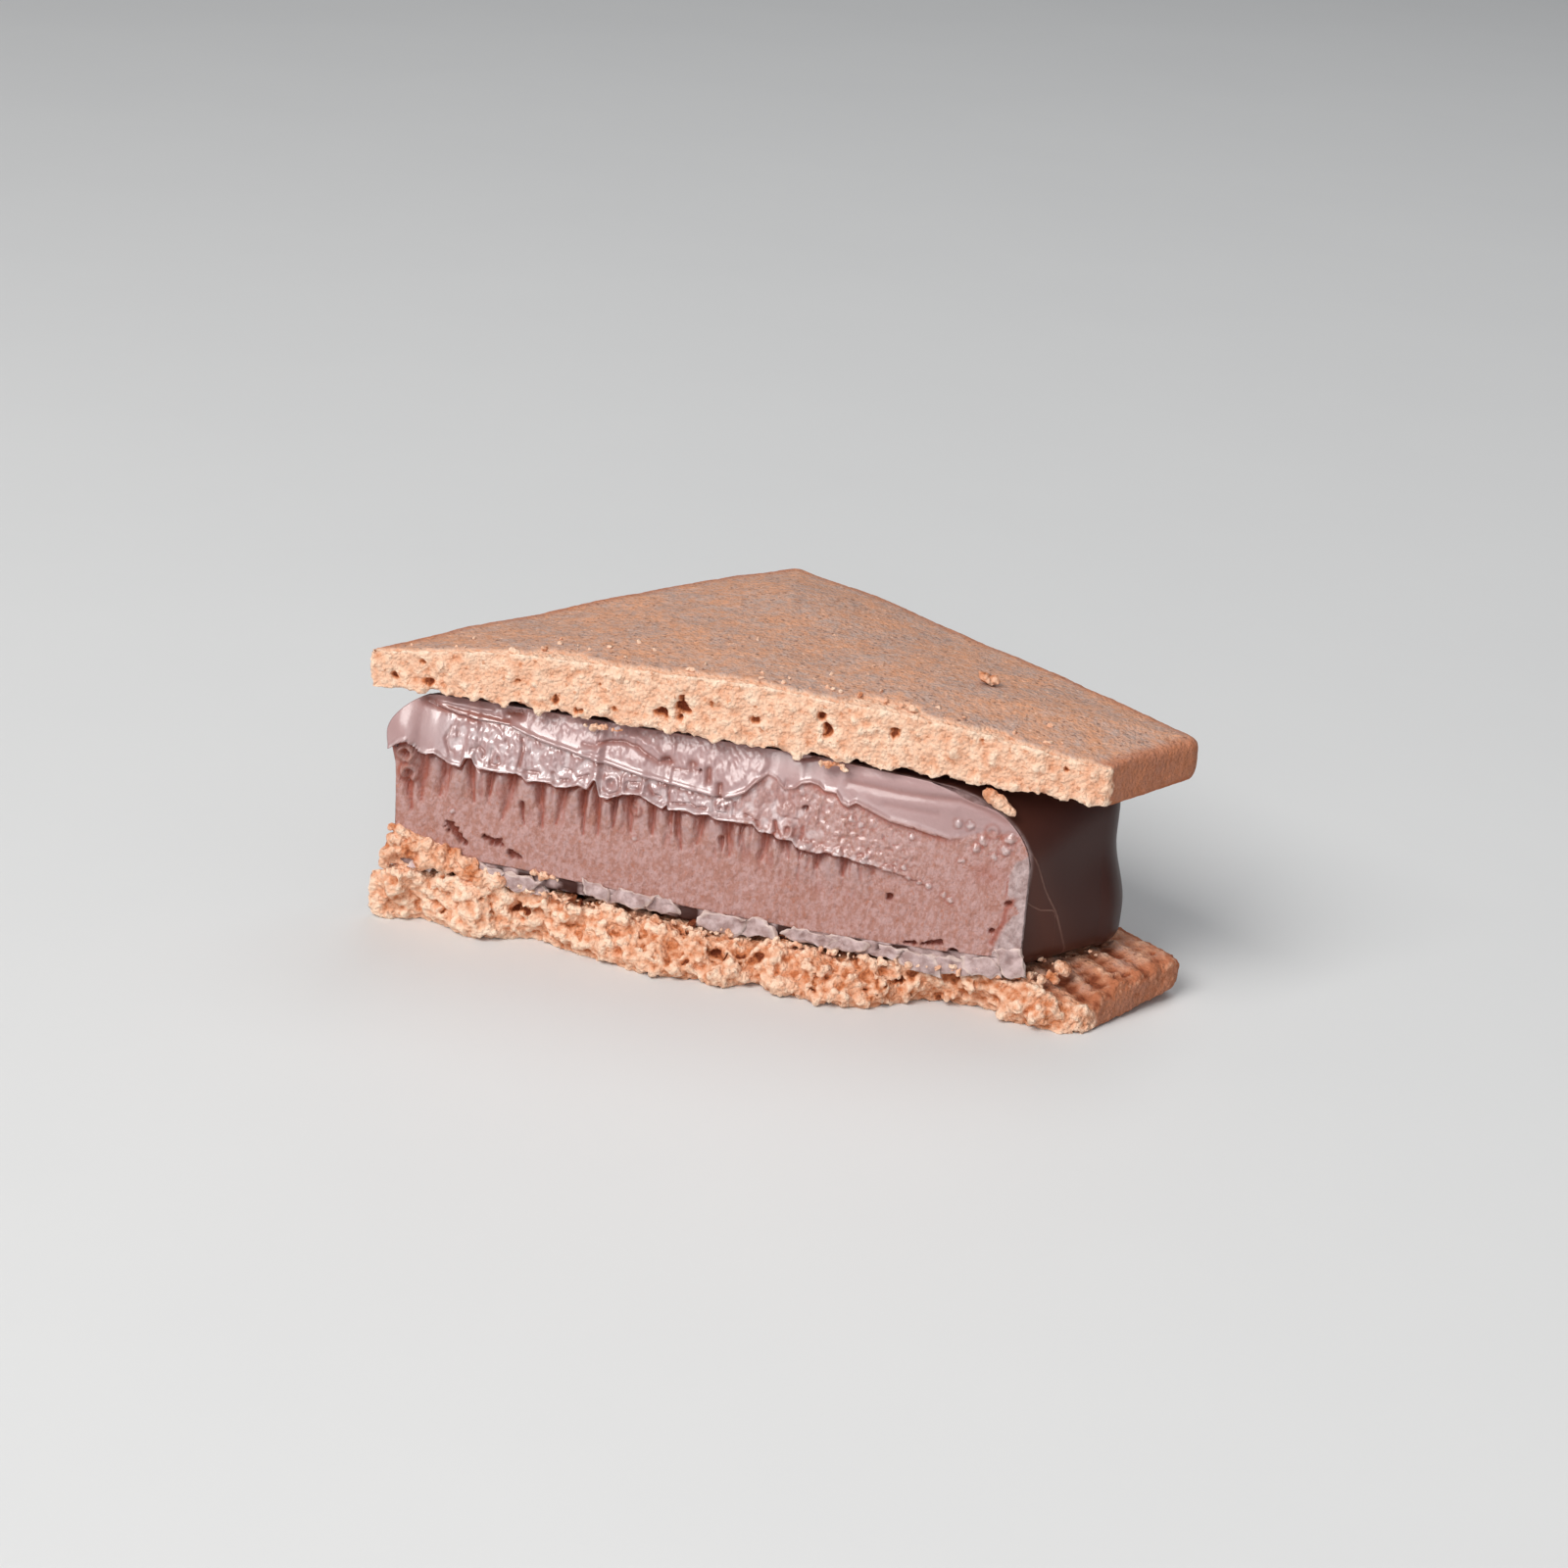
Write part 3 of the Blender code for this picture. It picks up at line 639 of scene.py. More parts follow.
def bed_height(x, y):
    """Upper face of the bottom biscuit, where the filling lies."""
    return BED_AT_BACK + (profile(BED_ALONG_CUT, x) - BED_AT_BACK) * np.exp(-np.maximum(y, 0) / BED_FADE)


print("bed at the left, middle and right of the cut:", [round(bed_height(x * MM, 0) / MM, 2) for x in (-30, 0, 30)])

# %% [markdown]
# ## The print of the baking mat
#
# The faces that touched the baking mat carry rows of little beads. Rows follow the back edge. A cosine across the
# rows and another along them make the pattern, and a little noise stops it from looking machined.

# %% Mat print
ROW_PITCH = 2.25 * MM
BEAD_PITCH = 1.2 * MM
PRINT_DEPTH = 0.8 * MM


def mat_print(points, seed):
    """Depth of the print: 0 on top of a bead, and nearly 1 in the groove between two rows."""
    along, across = along_and_across(points)
    sway = 0.14 * grain(points * (1, 1, 0), 4 * MM, seed)
    worn = 0.8 + 0.5 * grain(points * (1, 1, 0), 2.4 * MM, seed + 3)
    groove = 0.5 - 0.5 * np.cos(2 * math.pi * (along / ROW_PITCH + sway))
    dip = 0.5 - 0.5 * np.cos(2 * math.pi * (across / BEAD_PITCH + 3 * sway))
    return worn * (groove**0.7 * (0.75 + 0.25 * dip) + 0.25 * dip * (1 - groove))


print("rows of print on the biscuit:", round(LONG_EDGE / ROW_PITCH))

# %% [markdown]
# ## Lumps of crumb, by Geometry Nodes
#
# A broken biscuit is a wall of little lumps with gaps between them. A tree scatters points where the painted number
# `broken` allows it, puts a squashed, turned ball on each, and joins them to the biscuit. The next voxel remesh
# melts balls and biscuit into one craggy skin.

# %% Lump tree
def build_lumps():
    sockets = [("Geometry", "NodeSocketGeometry", None), ("Per Square Metre", "NodeSocketFloat", 1e6),
               ("Smallest", "NodeSocketFloat", 0.3 * MM), ("Largest", "NodeSocketFloat", 0.8 * MM),
               ("Seed", "NodeSocketInt", 1)]
    tree, start, end = new_tree("Crumb lumps", "GeometryNodeTree", sockets, [("Geometry", "NodeSocketGeometry")])
    broken = add(tree, "GeometryNodeInputNamedAttribute", {"Name": "broken"}, data_type="FLOAT").outputs[0]
    density = calc(tree, "MULTIPLY", broken, start.outputs["Per Square Metre"])
    scattered = add(tree, "GeometryNodeDistributePointsOnFaces",
                    {"Mesh": start.outputs["Geometry"], "Density": density, "Seed": start.outputs["Seed"]})
    ball = add(tree, "GeometryNodeMeshIcoSphere", {"Radius": 1.0, "Subdivisions": 2})
    size = add(tree, "FunctionNodeRandomValue", {2: start.outputs["Smallest"], 3: start.outputs["Largest"],
                                                 "Seed": start.outputs["Seed"]}, data_type="FLOAT")
    squash = add(tree, "FunctionNodeRandomValue", {0: (0.6, 0.6, 0.6), 1: (1.25, 1.25, 1.0), "Seed": 5},
                 data_type="FLOAT_VECTOR")
    scale = add(tree, "ShaderNodeVectorMath", {0: squash.outputs[0], "Scale": size.outputs[1]}, operation="SCALE")
    turn = add(tree, "FunctionNodeRandomValue", {0: (0, 0, 0), 1: (6.28, 6.28, 6.28), "Seed": 9},
               data_type="FLOAT_VECTOR")
    placed = add(tree, "GeometryNodeInstanceOnPoints",
                 {"Points": scattered.outputs["Points"], "Instance": ball.outputs["Mesh"],
                  "Rotation": turn.outputs[0], "Scale": scale.outputs[0]})
    joined = tree.nodes.new("GeometryNodeJoinGeometry")
    tree.links.new(placed.outputs[0], joined.inputs[0])
    tree.links.new(start.outputs["Geometry"], joined.inputs[0])
    end_tree(tree, joined.outputs[0], BISCUIT, end)
    return tree


LUMPS = build_lumps()
say_inputs(LUMPS)

# %% [markdown]
# ## Grains and pores, by Geometry Nodes
#
# Finer relief is pushed along the normals by a second tree. Voronoi cells stand for grains of crumb, and the peaks of
# a noise sink as ragged pores. The tree also stores how deep it went as `hollow`, from which pores get painted shade.

# %% Grain tree
def build_grains():
    sockets = [("Geometry", "NodeSocketGeometry", None), ("Grain Size", "NodeSocketFloat", 0.6 * MM),
               ("Grain Depth", "NodeSocketFloat", 0.1 * MM), ("Pore Size", "NodeSocketFloat", 1.2 * MM),
               ("Pore Depth", "NodeSocketFloat", 0.4 * MM), ("Pore Share", "NodeSocketFloat", 0.2),
               ("Skin Size", "NodeSocketFloat", 1.1 * MM), ("Skin Depth", "NodeSocketFloat", 0.06 * MM)]
    tree, start, end = new_tree("Crumb grains", "GeometryNodeTree", sockets, [("Geometry", "NodeSocketGeometry")])
    given = start.outputs
    broken = add(tree, "GeometryNodeInputNamedAttribute", {"Name": "broken"}, data_type="FLOAT").outputs[0]
    grains = add(tree, "ShaderNodeTexVoronoi", {"Scale": calc(tree, "DIVIDE", 1.0, given["Grain Size"])})
    raised = calc(tree, "MULTIPLY", calc(tree, "SUBTRACT", 0.45, grains.outputs["Distance"]), given["Grain Depth"])
    cloud = add(tree, "ShaderNodeTexNoise", {"Scale": calc(tree, "DIVIDE", 1.0, given["Pore Size"]), "Detail": 3.0})
    rarely = calc(tree, "SUBTRACT", 0.72, calc(tree, "MULTIPLY", given["Pore Share"], 0.4))
    bowl = add(tree, "ShaderNodeMapRange", {"Value": cloud.outputs[0], 1: rarely, 2: calc(tree, "ADD", rarely, 0.1)},
               interpolation_type="SMOOTHSTEP").outputs[0]
    pore = calc(tree, "MULTIPLY", bowl, broken)
    skin = add(tree, "ShaderNodeTexNoise", {"Scale": calc(tree, "DIVIDE", 1.0, given["Skin Size"]), "Detail": 3.0})
    skin_height = calc(tree, "MULTIPLY", calc(tree, "SUBTRACT", skin.outputs[0], 0.5), given["Skin Depth"])
    height = calc(tree, "MULTIPLY_ADD", raised, broken, skin_height)
    height = calc(tree, "SUBTRACT", height, calc(tree, "MULTIPLY", pore, given["Pore Depth"]))
    normal = tree.nodes.new("GeometryNodeInputNormal").outputs[0]
    offset = add(tree, "ShaderNodeVectorMath", {0: normal, "Scale": height}, operation="SCALE").outputs[0]
    kept = add(tree, "GeometryNodeStoreNamedAttribute",
               {"Geometry": given["Geometry"], "Name": "hollow", "Value": pore}, data_type="FLOAT", domain="POINT")
    moved = add(tree, "GeometryNodeSetPosition", {"Geometry": kept.outputs[0], "Offset": offset})
    end_tree(tree, moved.outputs[0], BISCUIT, end)
    return tree


GRAINS = build_grains()
say_inputs(GRAINS)


# %% Reading relief back from a mesh
def hollowness(piece, passes):
    """How far each point lies below its surroundings, in metres: a cheap stand-in for the shade in corners, which is
    painted from it.
    """
    points = points_of(piece)
    count = len(points)
    ends = np.empty(len(piece.data.edges) * 2, np.int32)
    piece.data.edges.foreach_get("vertices", ends)
    first, second = ends.reshape(-1, 2).T
    links = np.bincount(ends, minlength=count)[:, None]
    smooth = points.copy()
    for _ in range(passes):
        total = np.empty_like(points)
        for axis in range(3):
            total[:, axis] = np.bincount(first, smooth[second, axis], count)
            total[:, axis] += np.bincount(second, smooth[first, axis], count)
        smooth = 0.5 * smooth + 0.5 * total / links
    return ((smooth - points) * normals_of(piece)).sum(1)


def thin_skin(piece, most, kept):
    """Fewer triangles, taken mostly from the smooth skin and hardly from the points to be kept."""
    loose = piece.vertex_groups.new(name="smooth")
    for place in np.flatnonzero(~kept).tolist():
        loose.add([place], 1.0, "REPLACE")
    reduce = piece.modifiers.new("Fewer triangles", "DECIMATE")
    reduce.ratio = min(1, most / triangles(piece))
    reduce.vertex_group = "smooth"
    reduce.vertex_group_factor = 1.0
    apply_modifiers(piece)
    piece.vertex_groups.clear()


# %% [markdown]
# ## Painting a biscuit
#
# Light gets lost between crumbs, so a gap looks redder and darker than a crest. Rather than wait for the renderer to
# find that, we measure how far each point lies below its surroundings and paint it on the mesh as shade. The paint
# goes with the mesh wherever it is used. The same numbers brown the baked edges, and paint shade into the grooves of
# the print.

# %% Painting
def dress_biscuit(piece, broken, pits, depth, base, print_side, seed):
    """Paints where crumb shows, painted shade in gaps, pores and grooves, and the browning of the baked edges. Depth
    is how far a gap must lie below its surroundings to be quite dark.
    """
    points, normals = points_of(piece), normals_of(piece)
    pores = np.empty(len(points), np.float32)
    piece.data.attributes["hollow"].data.foreach_get("value", pores)
    below = hollowness(piece, 14)
    printed = np.clip(mat_print(points, seed), 0, 1) ** 1.5 * ease(0.3, 0.7, print_side * normals[:, 2])
    # Painted shade: the deeper a point lies below its neighbours, in a pore or a cavity, the redder and darker it
    # gets.
    relief_shade = base + 0.7 * np.clip(below / depth, -0.5, 1) + 0.25 * pores + 0.5 * pits
    worn = (print_side > 0) * (normals[:, 2] > 0.3) * ease(0.05, 0.35, grain(points, 0.6 * MM, seed + 5))
    paint(piece, "crumb", np.maximum(broken, 0.5 * worn * (0.9 - printed)))
    paint(piece, "relief_shade", np.clip(relief_shade, 0, 1))
    # Real browning along the baked edges and on the mat side, with painted shade in hollows and in the print's
    # grooves.
    edge = ease(1.6 * MM, -0.2 * MM, from_baked_edge(points))
    grooves = 0.4 * ease(0.0, 0.16 * MM, below) + 0.25 * (print_side * normals[:, 2] > 0.3)
    paint(piece, "toast_and_shade", (1 - broken) * np.clip(np.maximum(0.75 * edge, 0.9 * printed) + grooves, 0, 0.95))
    # Painted shade in the grooves of the print, in hollows and in pores.
    dark = ease(0.35, 0.9, printed + 0.3 * grain(points, 0.6 * MM, seed + 9))
    dark = np.maximum(np.maximum(dark, ease(0.05, 0.3, below / MM)), pores)
    paint(piece, "groove", (1 - broken) * 0.85 * dark)
    dress(piece, BISCUIT)


# %% [markdown]
# ## The top biscuit
#
# It crowns in the middle, droops a little at its back corner, and leans down to the right with the whole sandwich.
# The cut face gets lumps, grains and pores, and a few large cavities that the oven left.

# %% Top biscuit
# (along the cut, height, half width, half height, depth) of each large cavity in the cut face, in millimetres.
TOP_CAVITIES = ((-4.6, 24.5, 0.7, 0.85, 1.1), (-6.3, 23.8, 0.7, 0.4, 0.7), (-1.9, 25.3, 0.2, 0.2, 0.4),
                (1.9, 24.4, 0.42, 0.28, 0.7), (7.9, 25.6, 0.4, 0.45, 0.8), (8.4, 24.4, 0.42, 0.75, 1.1),
                (14.3, 25.1, 0.45, 0.55, 0.7), (21.8, 25.5, 0.22, 0.22, 0.4), (29.2, 24.0, 0.2, 0.26, 0.5),
                (-27.6, 23.6, 0.6, 0.3, 0.5), (-30.8, 23.7, 0.34, 0.28, 0.6), (-28.2, 25.4, 0.28, 0.24, 0.4),
                (-16.0, 23.6, 0.3, 0.4, 0.5), (-13.8, 22.9, 0.5, 0.32, 0.7), (-10.6, 23.7, 0.26, 0.24, 0.4),
                (-19.4, 24.9, 0.16, 0.2, 0.3), (-12.0, 25.6, 0.16, 0.2, 0.3))
# Where the skin chipped off along the upper edge of the cut: (from, to, how far back), in millimetres.
TOP_CHIPS = ((-19.0, -13.0, 1.3), (-6.5, 3.0, 0.5), (9.5, 16.8, 1.6), (21.0, 25.0, 0.8))
TOP_TRIANGLES = 196000


def sink_cavities(points, cavities, facing):
    """Pushes pits into a face that looks along -Y, and returns how far inside a pit each point is."""
    x, z = points[:, 0] / MM, points[:, 2] / MM
    deep = np.zeros(len(points))
    wobble = 0.7 * grain(points, 0.7 * MM, 31) + 0.5 * grain(points, 0.35 * MM, 32)
    for across, height, half_width, half_height, depth in cavities:
        away = np.hypot((x - across) / half_width, (z - height) / half_height) + wobble
        inside = ease(1.2, 0.4, away) * facing
        points[:, 1] += 0.8 * depth * MM * inside
        deep = np.maximum(deep, inside)
    return deep


def top_height(points):
    """Upper face of the top biscuit."""
    x, y = points[:, 0], points[:, 1]
    inside = np.maximum(from_baked_edge(points), 0)
    crown = TOP_CROWN * (1 - np.exp(-((inside / CROWN_WIDTH) ** 1.5)))
    wave = 0.25 * MM * grain(points * (1, 1, 0), 11 * MM, 1) + 0.1 * MM * grain(points * (1, 1, 0), 3.2 * MM, 12)
    droop = CORNER_DROOP * hump(np.hypot(x - BACK_LEFT.x, y - BACK_LEFT.y), DROOP_WIDTH)
    return TOP_EDGE_HEIGHT - LEAN_RIGHT * x + RISE_BACK * y + crown + wave - droop


def shape_top(piece):
    points = points_of(piece)
    x, upper = points[:, 0], top_height(points)
    flat_rim = ease(0.5 * MM, 3.5 * MM, from_baked_edge(points))
    lower = TOP_UNDERSIDE - LEAN_RIGHT * x + PRINT_DEPTH * flat_rim * mat_print(points, 21)
    points[:, 2] = lower + points[:, 2] / BLANK_THICKNESS * (upper - lower)
    move_points(piece, points)


def top_broken(points):
    """1 on the cut face of the top biscuit, 0 on its baked skin, with a ragged border where skin chipped off."""
    chipped = np.zeros(len(points))
    for start, stop, reach in TOP_CHIPS:
        window = ease(start, start + 1.2, points[:, 0] / MM) * ease(stop, stop - 1.0, points[:, 0] / MM)
        chipped = np.maximum(chipped, window * reach * MM)
    ragged = 0.5 * MM + chipped + 0.35 * MM * grain(points, 1.3 * MM, 2) + 0.3 * MM * grain(points, 0.5 * MM, 3)
    return ease(0.15 * MM, -0.1 * MM, points[:, 1] - ragged)


def make_top_biscuit():
    piece = biscuit_blank("top_biscuit", TOP_SPREAD)
    shape_top(piece)
    points, normals = points_of(piece), normals_of(piece)
    on_cut = np.clip(-normals[:, 1], 0, 1) ** 2
    low = ease(23.2 * MM, 22.0 * MM, points[:, 2] + LEAN_RIGHT * points[:, 0])
    paint(piece, "broken", on_cut * (0.12 + 0.88 * low) * ease(0.2 * MM, 1.4 * MM, from_baked_edge(points)))
    run_tree(piece, LUMPS, per_square_metre=1.5e6, smallest=0.2 * MM, largest=0.5 * MM, seed=3)
    even_mesh(piece, BISCUIT_VOXEL * 0.9)

    points, normals = points_of(piece), normals_of(piece)
    rim = np.clip(1 - np.abs(normals[:, 2]), 0, 1)
    broken = top_broken(points)
    upper_side = ease(0.6, 0.95, normals[:, 2])
    face = broken * np.clip(-normals[:, 1] * 1.4, 0, 1)
    depth = face * (0.2 * grain(points, 2.4 * MM, 2) + 0.16 * grain(points, 0.9 * MM, 3) - 0.04)
    depth += (1 - broken) * rim * 0.16 * grain(points, 3.0 * MM, 4)
    depth -= 0.22 * broken * upper_side
    points += normals * (depth * MM)[:, None]
    pits = sink_cavities(points, TOP_CAVITIES, ease(3.0 * MM, 1.2 * MM, points[:, 1]) * (face > 0.2))
    move_points(piece, points)
    paint(piece, "broken", broken)
    run_tree(piece, GRAINS, grain_size=0.5 * MM, grain_depth=0.2 * MM, pore_size=1.1 * MM, pore_depth=0.28 * MM,
             pore_share=0.12, skin_size=1.1 * MM, skin_depth=0.2 * MM)
    dress_biscuit(piece, broken, pits, depth=0.5 * MM, base=0.32, print_side=-1, seed=21)
    thin_skin(piece, TOP_TRIANGLES, broken > 0.3)
    hand_over(piece, "biscuit", "biscuit_top")


make_top_biscuit()

# %% [markdown]
# ## The bottom biscuit
#
# The knife crushed this one: its face is all lumps, and its foot spread forward past the cut. The upper face keeps
# the mat print, which shows beside the filling, and has a worn corner.

# %% Bottom biscuit
BED_RIM_DROP = 0.15 * MM
FOOT_LIFT = 1.1 * MM
FOOT_LIFT_WIDTH = 1.2 * MM
WORN_CORNER_DROP = 1.3 * MM
WORN_CORNER_WIDTH = 4.0 * MM
BOTTOM_TRIANGLES = 197000
# (along the cut, height, half width, half height, depth) of each gap in the crushed face, in millimetres.
BOTTOM_GAPS = ((-14.0, 5.3, 1.2, 0.5, 2.2), (-11.7, 5.0, 0.8, 0.4, 1.8), (-2.8, 5.0, 1.3, 0.65, 2.6),
               (6.0, 4.6, 0.9, 0.55, 2.0), (12.5, 3.7, 0.6, 0.3, 1.0), (-24.6, 6.0, 0.5, 0.3, 1.0),
               (0.5, 2.6, 0.8, 0.35, 1.0), (-18.0, 3.2, 0.9, 0.4, 1.0), (16.5, 2.2, 0.8, 0.3, 0.9))
# How far the foot stands forward of the cut: (along the cut, reach), in millimetres.
FOOT_REACH = ((-33.0, 0.2), (-30.5, 0.0), (-28.0, -0.8), (-24.8, 0.0), (-22.5, 1.4), (-19.5, 0.2), (-17.1, -0.6),
              (-14.0, 0.7), (-11.4, 1.5), (-5.6, 2.8), (-1.0, 2.6), (2.0, 2.7), (3.8, 1.3), (6.0, 2.5),
              (11.5, 3.0), (14.4, 2.6), (17.8, -0.3), (21.0, -1.1), (25.0, -1.0), (27.3, 0.8), (31.3, 1.5),
              (33.1, 0.8))


def foot_reach(x, level):
    """How far the broken face stands forward of the cut, at a level from 0 at the bottom to 1 at the top."""
    reach = line(FOOT_REACH, x / MM) * MM
    return reach * np.sin(0.5 * math.pi * np.clip(1.15 - 0.9 * level, 0, 1)) ** 2


def shape_bottom(piece):
    points = points_of(piece)
    x, y = points[:, 0].copy(), points[:, 1].copy()
    level = points[:, 2] / BLANK_THICKNESS
    inside = np.maximum(from_baked_edge(points), 0)
    rim = BED_RIM_DROP * np.exp(-inside / (2.0 * MM))
    rim += WORN_CORNER_DROP * hump(np.hypot(x - FRONT_RIGHT.x, y), WORN_CORNER_WIDTH)
    upper = bed_height(x, y) - rim - PRINT_DEPTH * mat_print(points, 22)
    lifted = FOOT_LIFT * np.exp(-inside / FOOT_LIFT_WIDTH) * ease(2 * MM, 14 * MM, y)
    points[:, 2] = lifted + level * (upper - lifted)
    points[:, 1] -= np.exp(-np.maximum(y, 0) / (1.6 * MM)) * foot_reach(x, level)
    move_points(piece, points)


def bottom_broken(points):
    """1 on the crushed front of the bottom biscuit, 0 on its baked skin."""
    level = np.clip(points[:, 2] / bed_height(points[:, 0], points[:, 1]), 0, 1)
    behind = points[:, 1] + foot_reach(points[:, 0], level)
    ragged = 1.1 * MM + 0.7 * MM * grain(points, 1.8 * MM, 5) + 0.4 * MM * grain(points, 0.7 * MM, 6)
    return ease(0.25 * MM, -0.25 * MM, behind - ragged)


def make_bottom_biscuit():
    piece = biscuit_blank("bottom_biscuit", BOTTOM_SPREAD)
    shape_bottom(piece)
    for largest, count, seed in ((1.0 * MM, 0.9e6, 8), (0.5 * MM, 3.2e6, 9)):
        points, normals = points_of(piece), normals_of(piece)
        on_cut = np.clip(-normals[:, 1] * 1.2, 0, 1) * bottom_broken(points)
        on_cut *= ease(0.2 * MM, 1.4 * MM, from_baked_edge(points))
        paint(piece, "broken", on_cut * ease(0.5 * largest, 1.1 * largest, points[:, 2]))
        run_tree(piece, LUMPS, per_square_metre=count, smallest=0.4 * largest, largest=largest, seed=seed)
        even_mesh(piece, BISCUIT_VOXEL * 0.92)

    points, normals = points_of(piece), normals_of(piece)
    broken = bottom_broken(points)
    face = broken * np.clip(-normals[:, 1] * 1.2 + 0.2, 0, 1)
    rim = np.clip(1 - np.abs(normals[:, 2]), 0, 1) * (1 - broken)
    depth = face * (0.35 * grain(points, 3.0 * MM, 5) + 0.3 * grain(points, 1.2 * MM, 6))
    depth += rim * (0.2 * grain(points, 2.6 * MM, 7) + 0.12 * grain(points, 1.0 * MM, 8))
    points += normals * (depth * MM)[:, None]
    pits = sink_cavities(points, BOTTOM_GAPS, face > 0.2)
    move_points(piece, points)
    paint(piece, "broken", np.maximum(broken, 0.5))
    run_tree(piece, GRAINS, grain_size=0.6 * MM, grain_depth=0.4 * MM, pore_size=1.5 * MM, pore_depth=0.8 * MM,
             pore_share=0.2, skin_size=1.1 * MM, skin_depth=0.3 * MM)
    points = stay_above(piece, 0)
    base = 0.35 + 0.14 * ease(-26 * MM, 0, points[:, 0])
    dress_biscuit(piece, broken, pits, depth=0.42 * MM, base=base, print_side=1, seed=22)
    across = along_and_across(points)[1]
    beside_filling = (BACK_EDGE - across < INSET_RIGHT + 1 * MM) | (across < INSET_LEFT)
    thin_skin(piece, BOTTOM_TRIANGLES, (broken > 0.3) | (beside_filling & (points[:, 2] > 1.5 * MM)))
    hand_over(piece, "biscuit", "biscuit_bottom")


make_bottom_biscuit()

# %% [markdown]
# ## The filling as a loft
#
# The filling is a rounded slab, a little smaller than the biscuits. It could be a Boolean of boxes, but a loft of
# level rows gives clean quads that a satin surface needs. Each level has a left side, a back and a right side, and
# each row in between runs straight across. The same function makes the coat's outside, its hollow, and the ganache.

# %% Sizes of the filling
FILLING_CORNER = 3.4 * MM
FILLING_HEIGHT = 16.6 * MM
TOP_ROUND_ACROSS = 2.8 * MM
TOP_ROUND_DOWN = 3.6 * MM
FOOT_ROUND = 1.5 * MM
FOOT_FLARE = 1.1 * MM
FLARE_FROM_CUT = 7.0 * MM
COAT = 1.2 * MM
SIDE_SAMPLES = 120
SHOULDER_ACROSS = 5.0 * MM
SHOULDER_DOWN = 3.2 * MM
SHOULDER_FADE = 4.5 * MM


def edge_inset(height, shrink, y, press):
    """How far the side of the filling stands in, y behind the cut, for a body that is smaller by shrink all round."""
    low, high = shrink, FILLING_HEIGHT - shrink
    pressed = press * math.exp(-((max(y, 0) / SHOULDER_FADE) ** 2))
    across = max(TOP_ROUND_ACROSS + pressed * SHOULDER_ACROSS - shrink, 0.4 * MM)
    down = max(TOP_ROUND_DOWN + pressed * SHOULDER_DOWN - shrink, 0.4 * MM)
    foot = max(FOOT_ROUND - shrink, 0.25 * MM)
    inset = 0
    if height > high - down:
        inset = across * (1 - math.sqrt(max(0, 1 - ((height - high + down) / down) ** 2)))
    elif height < low + foot:
        inset = foot * (1 - math.sqrt(max(0, 1 - ((low + foot - height) / foot) ** 2)))
    swell = 0.5 + 0.5 * math.cos(math.pi * min(max(height / FILLING_HEIGHT - 0.2, 0) / 0.45, 1))
    return inset - FOOT_FLARE * swell * (1 - math.exp(-((max(y, 0) / FLARE_FROM_CUT) ** 2)))


def filling_sides(height, shrink, front, side_steps, arc_steps):
    """Left and right side of one level in plan, each from the cut to the middle of its back corner's end."""
    plain = shrink + edge_inset(height, shrink, BACK_LEFT.y / 2, 0)
    radius = max(FILLING_CORNER - plain, 0.3 * MM)
    back = LONG_EDGE - INSET_BACK - plain
    edges = {"left": (INSET_LEFT, 1, 0), "right": (BACK_EDGE - INSET_RIGHT, -1, 1)}
    sides = {}
    for name, (base, inward, press) in edges.items():
        corner = base + inward * plain
        end = (FRONT_LEFT + corner * ACROSS + (back - radius) * ALONG).y
        chain = []
        for step in range(side_steps):
            part = (step / side_steps) ** 1.6
            y = front + (end - front) * part
            across = base + inward * (shrink + edge_inset(height, shrink, y, press))
            chain.append(FRONT_LEFT + across * ACROSS + (y - across * ACROSS.y) / ALONG.y * ALONG)
        for step in range(arc_steps + 1):
            angle = 0.5 * math.pi * step / arc_steps
            across = corner + inward * radius * (1 - math.cos(angle))
            chain.append(FRONT_LEFT + across * ACROSS + (back - radius * (1 - math.sin(angle))) * ALONG)
        sides[name] = chain
    return sides["left"], sides["right"]


def level_heights(shrink, steps):
    """Heights of the levels, closer together where the foot and the shoulder curve."""
    low, high = shrink, FILLING_HEIGHT - shrink
    bend = [0.5 - 0.5 * math.cos(math.pi * step / steps) for step in range(steps + 1)]
    return [low + (high - low) * (0.65 * part + 0.35 * step / steps) for step, part in enumerate(bend)]


def side_places(height, shrink):
    """x of the left and right end of the front at each height, for a body smaller by shrink all round."""
    heights = level_heights(shrink, SIDE_SAMPLES)
    ends = np.array([[side[0].x for side in filling_sides(level, shrink, 0, 1, 1)] for level in heights])
    return np.interp(height, heights, ends[:, 0]), np.interp(height, heights, ends[:, 1])


print("the front runs from", *[round(float(end) / MM, 1) for end in side_places(FILLING_HEIGHT / 2, 0)], "mm")

# %% Lofting
def across_row(shape, start, stop, columns):
    """Vertices between two others, with both ends."""
    between = [shape.verts.new(start.co.lerp(stop.co, step / columns)) for step in range(1, columns)]
    return [start, *between, stop]


def stitch(shape, lower, upper):
    return [shape.faces.new((lower[step], lower[step + 1], upper[step + 1], upper[step]))
            for step in range(len(lower) - 1)]


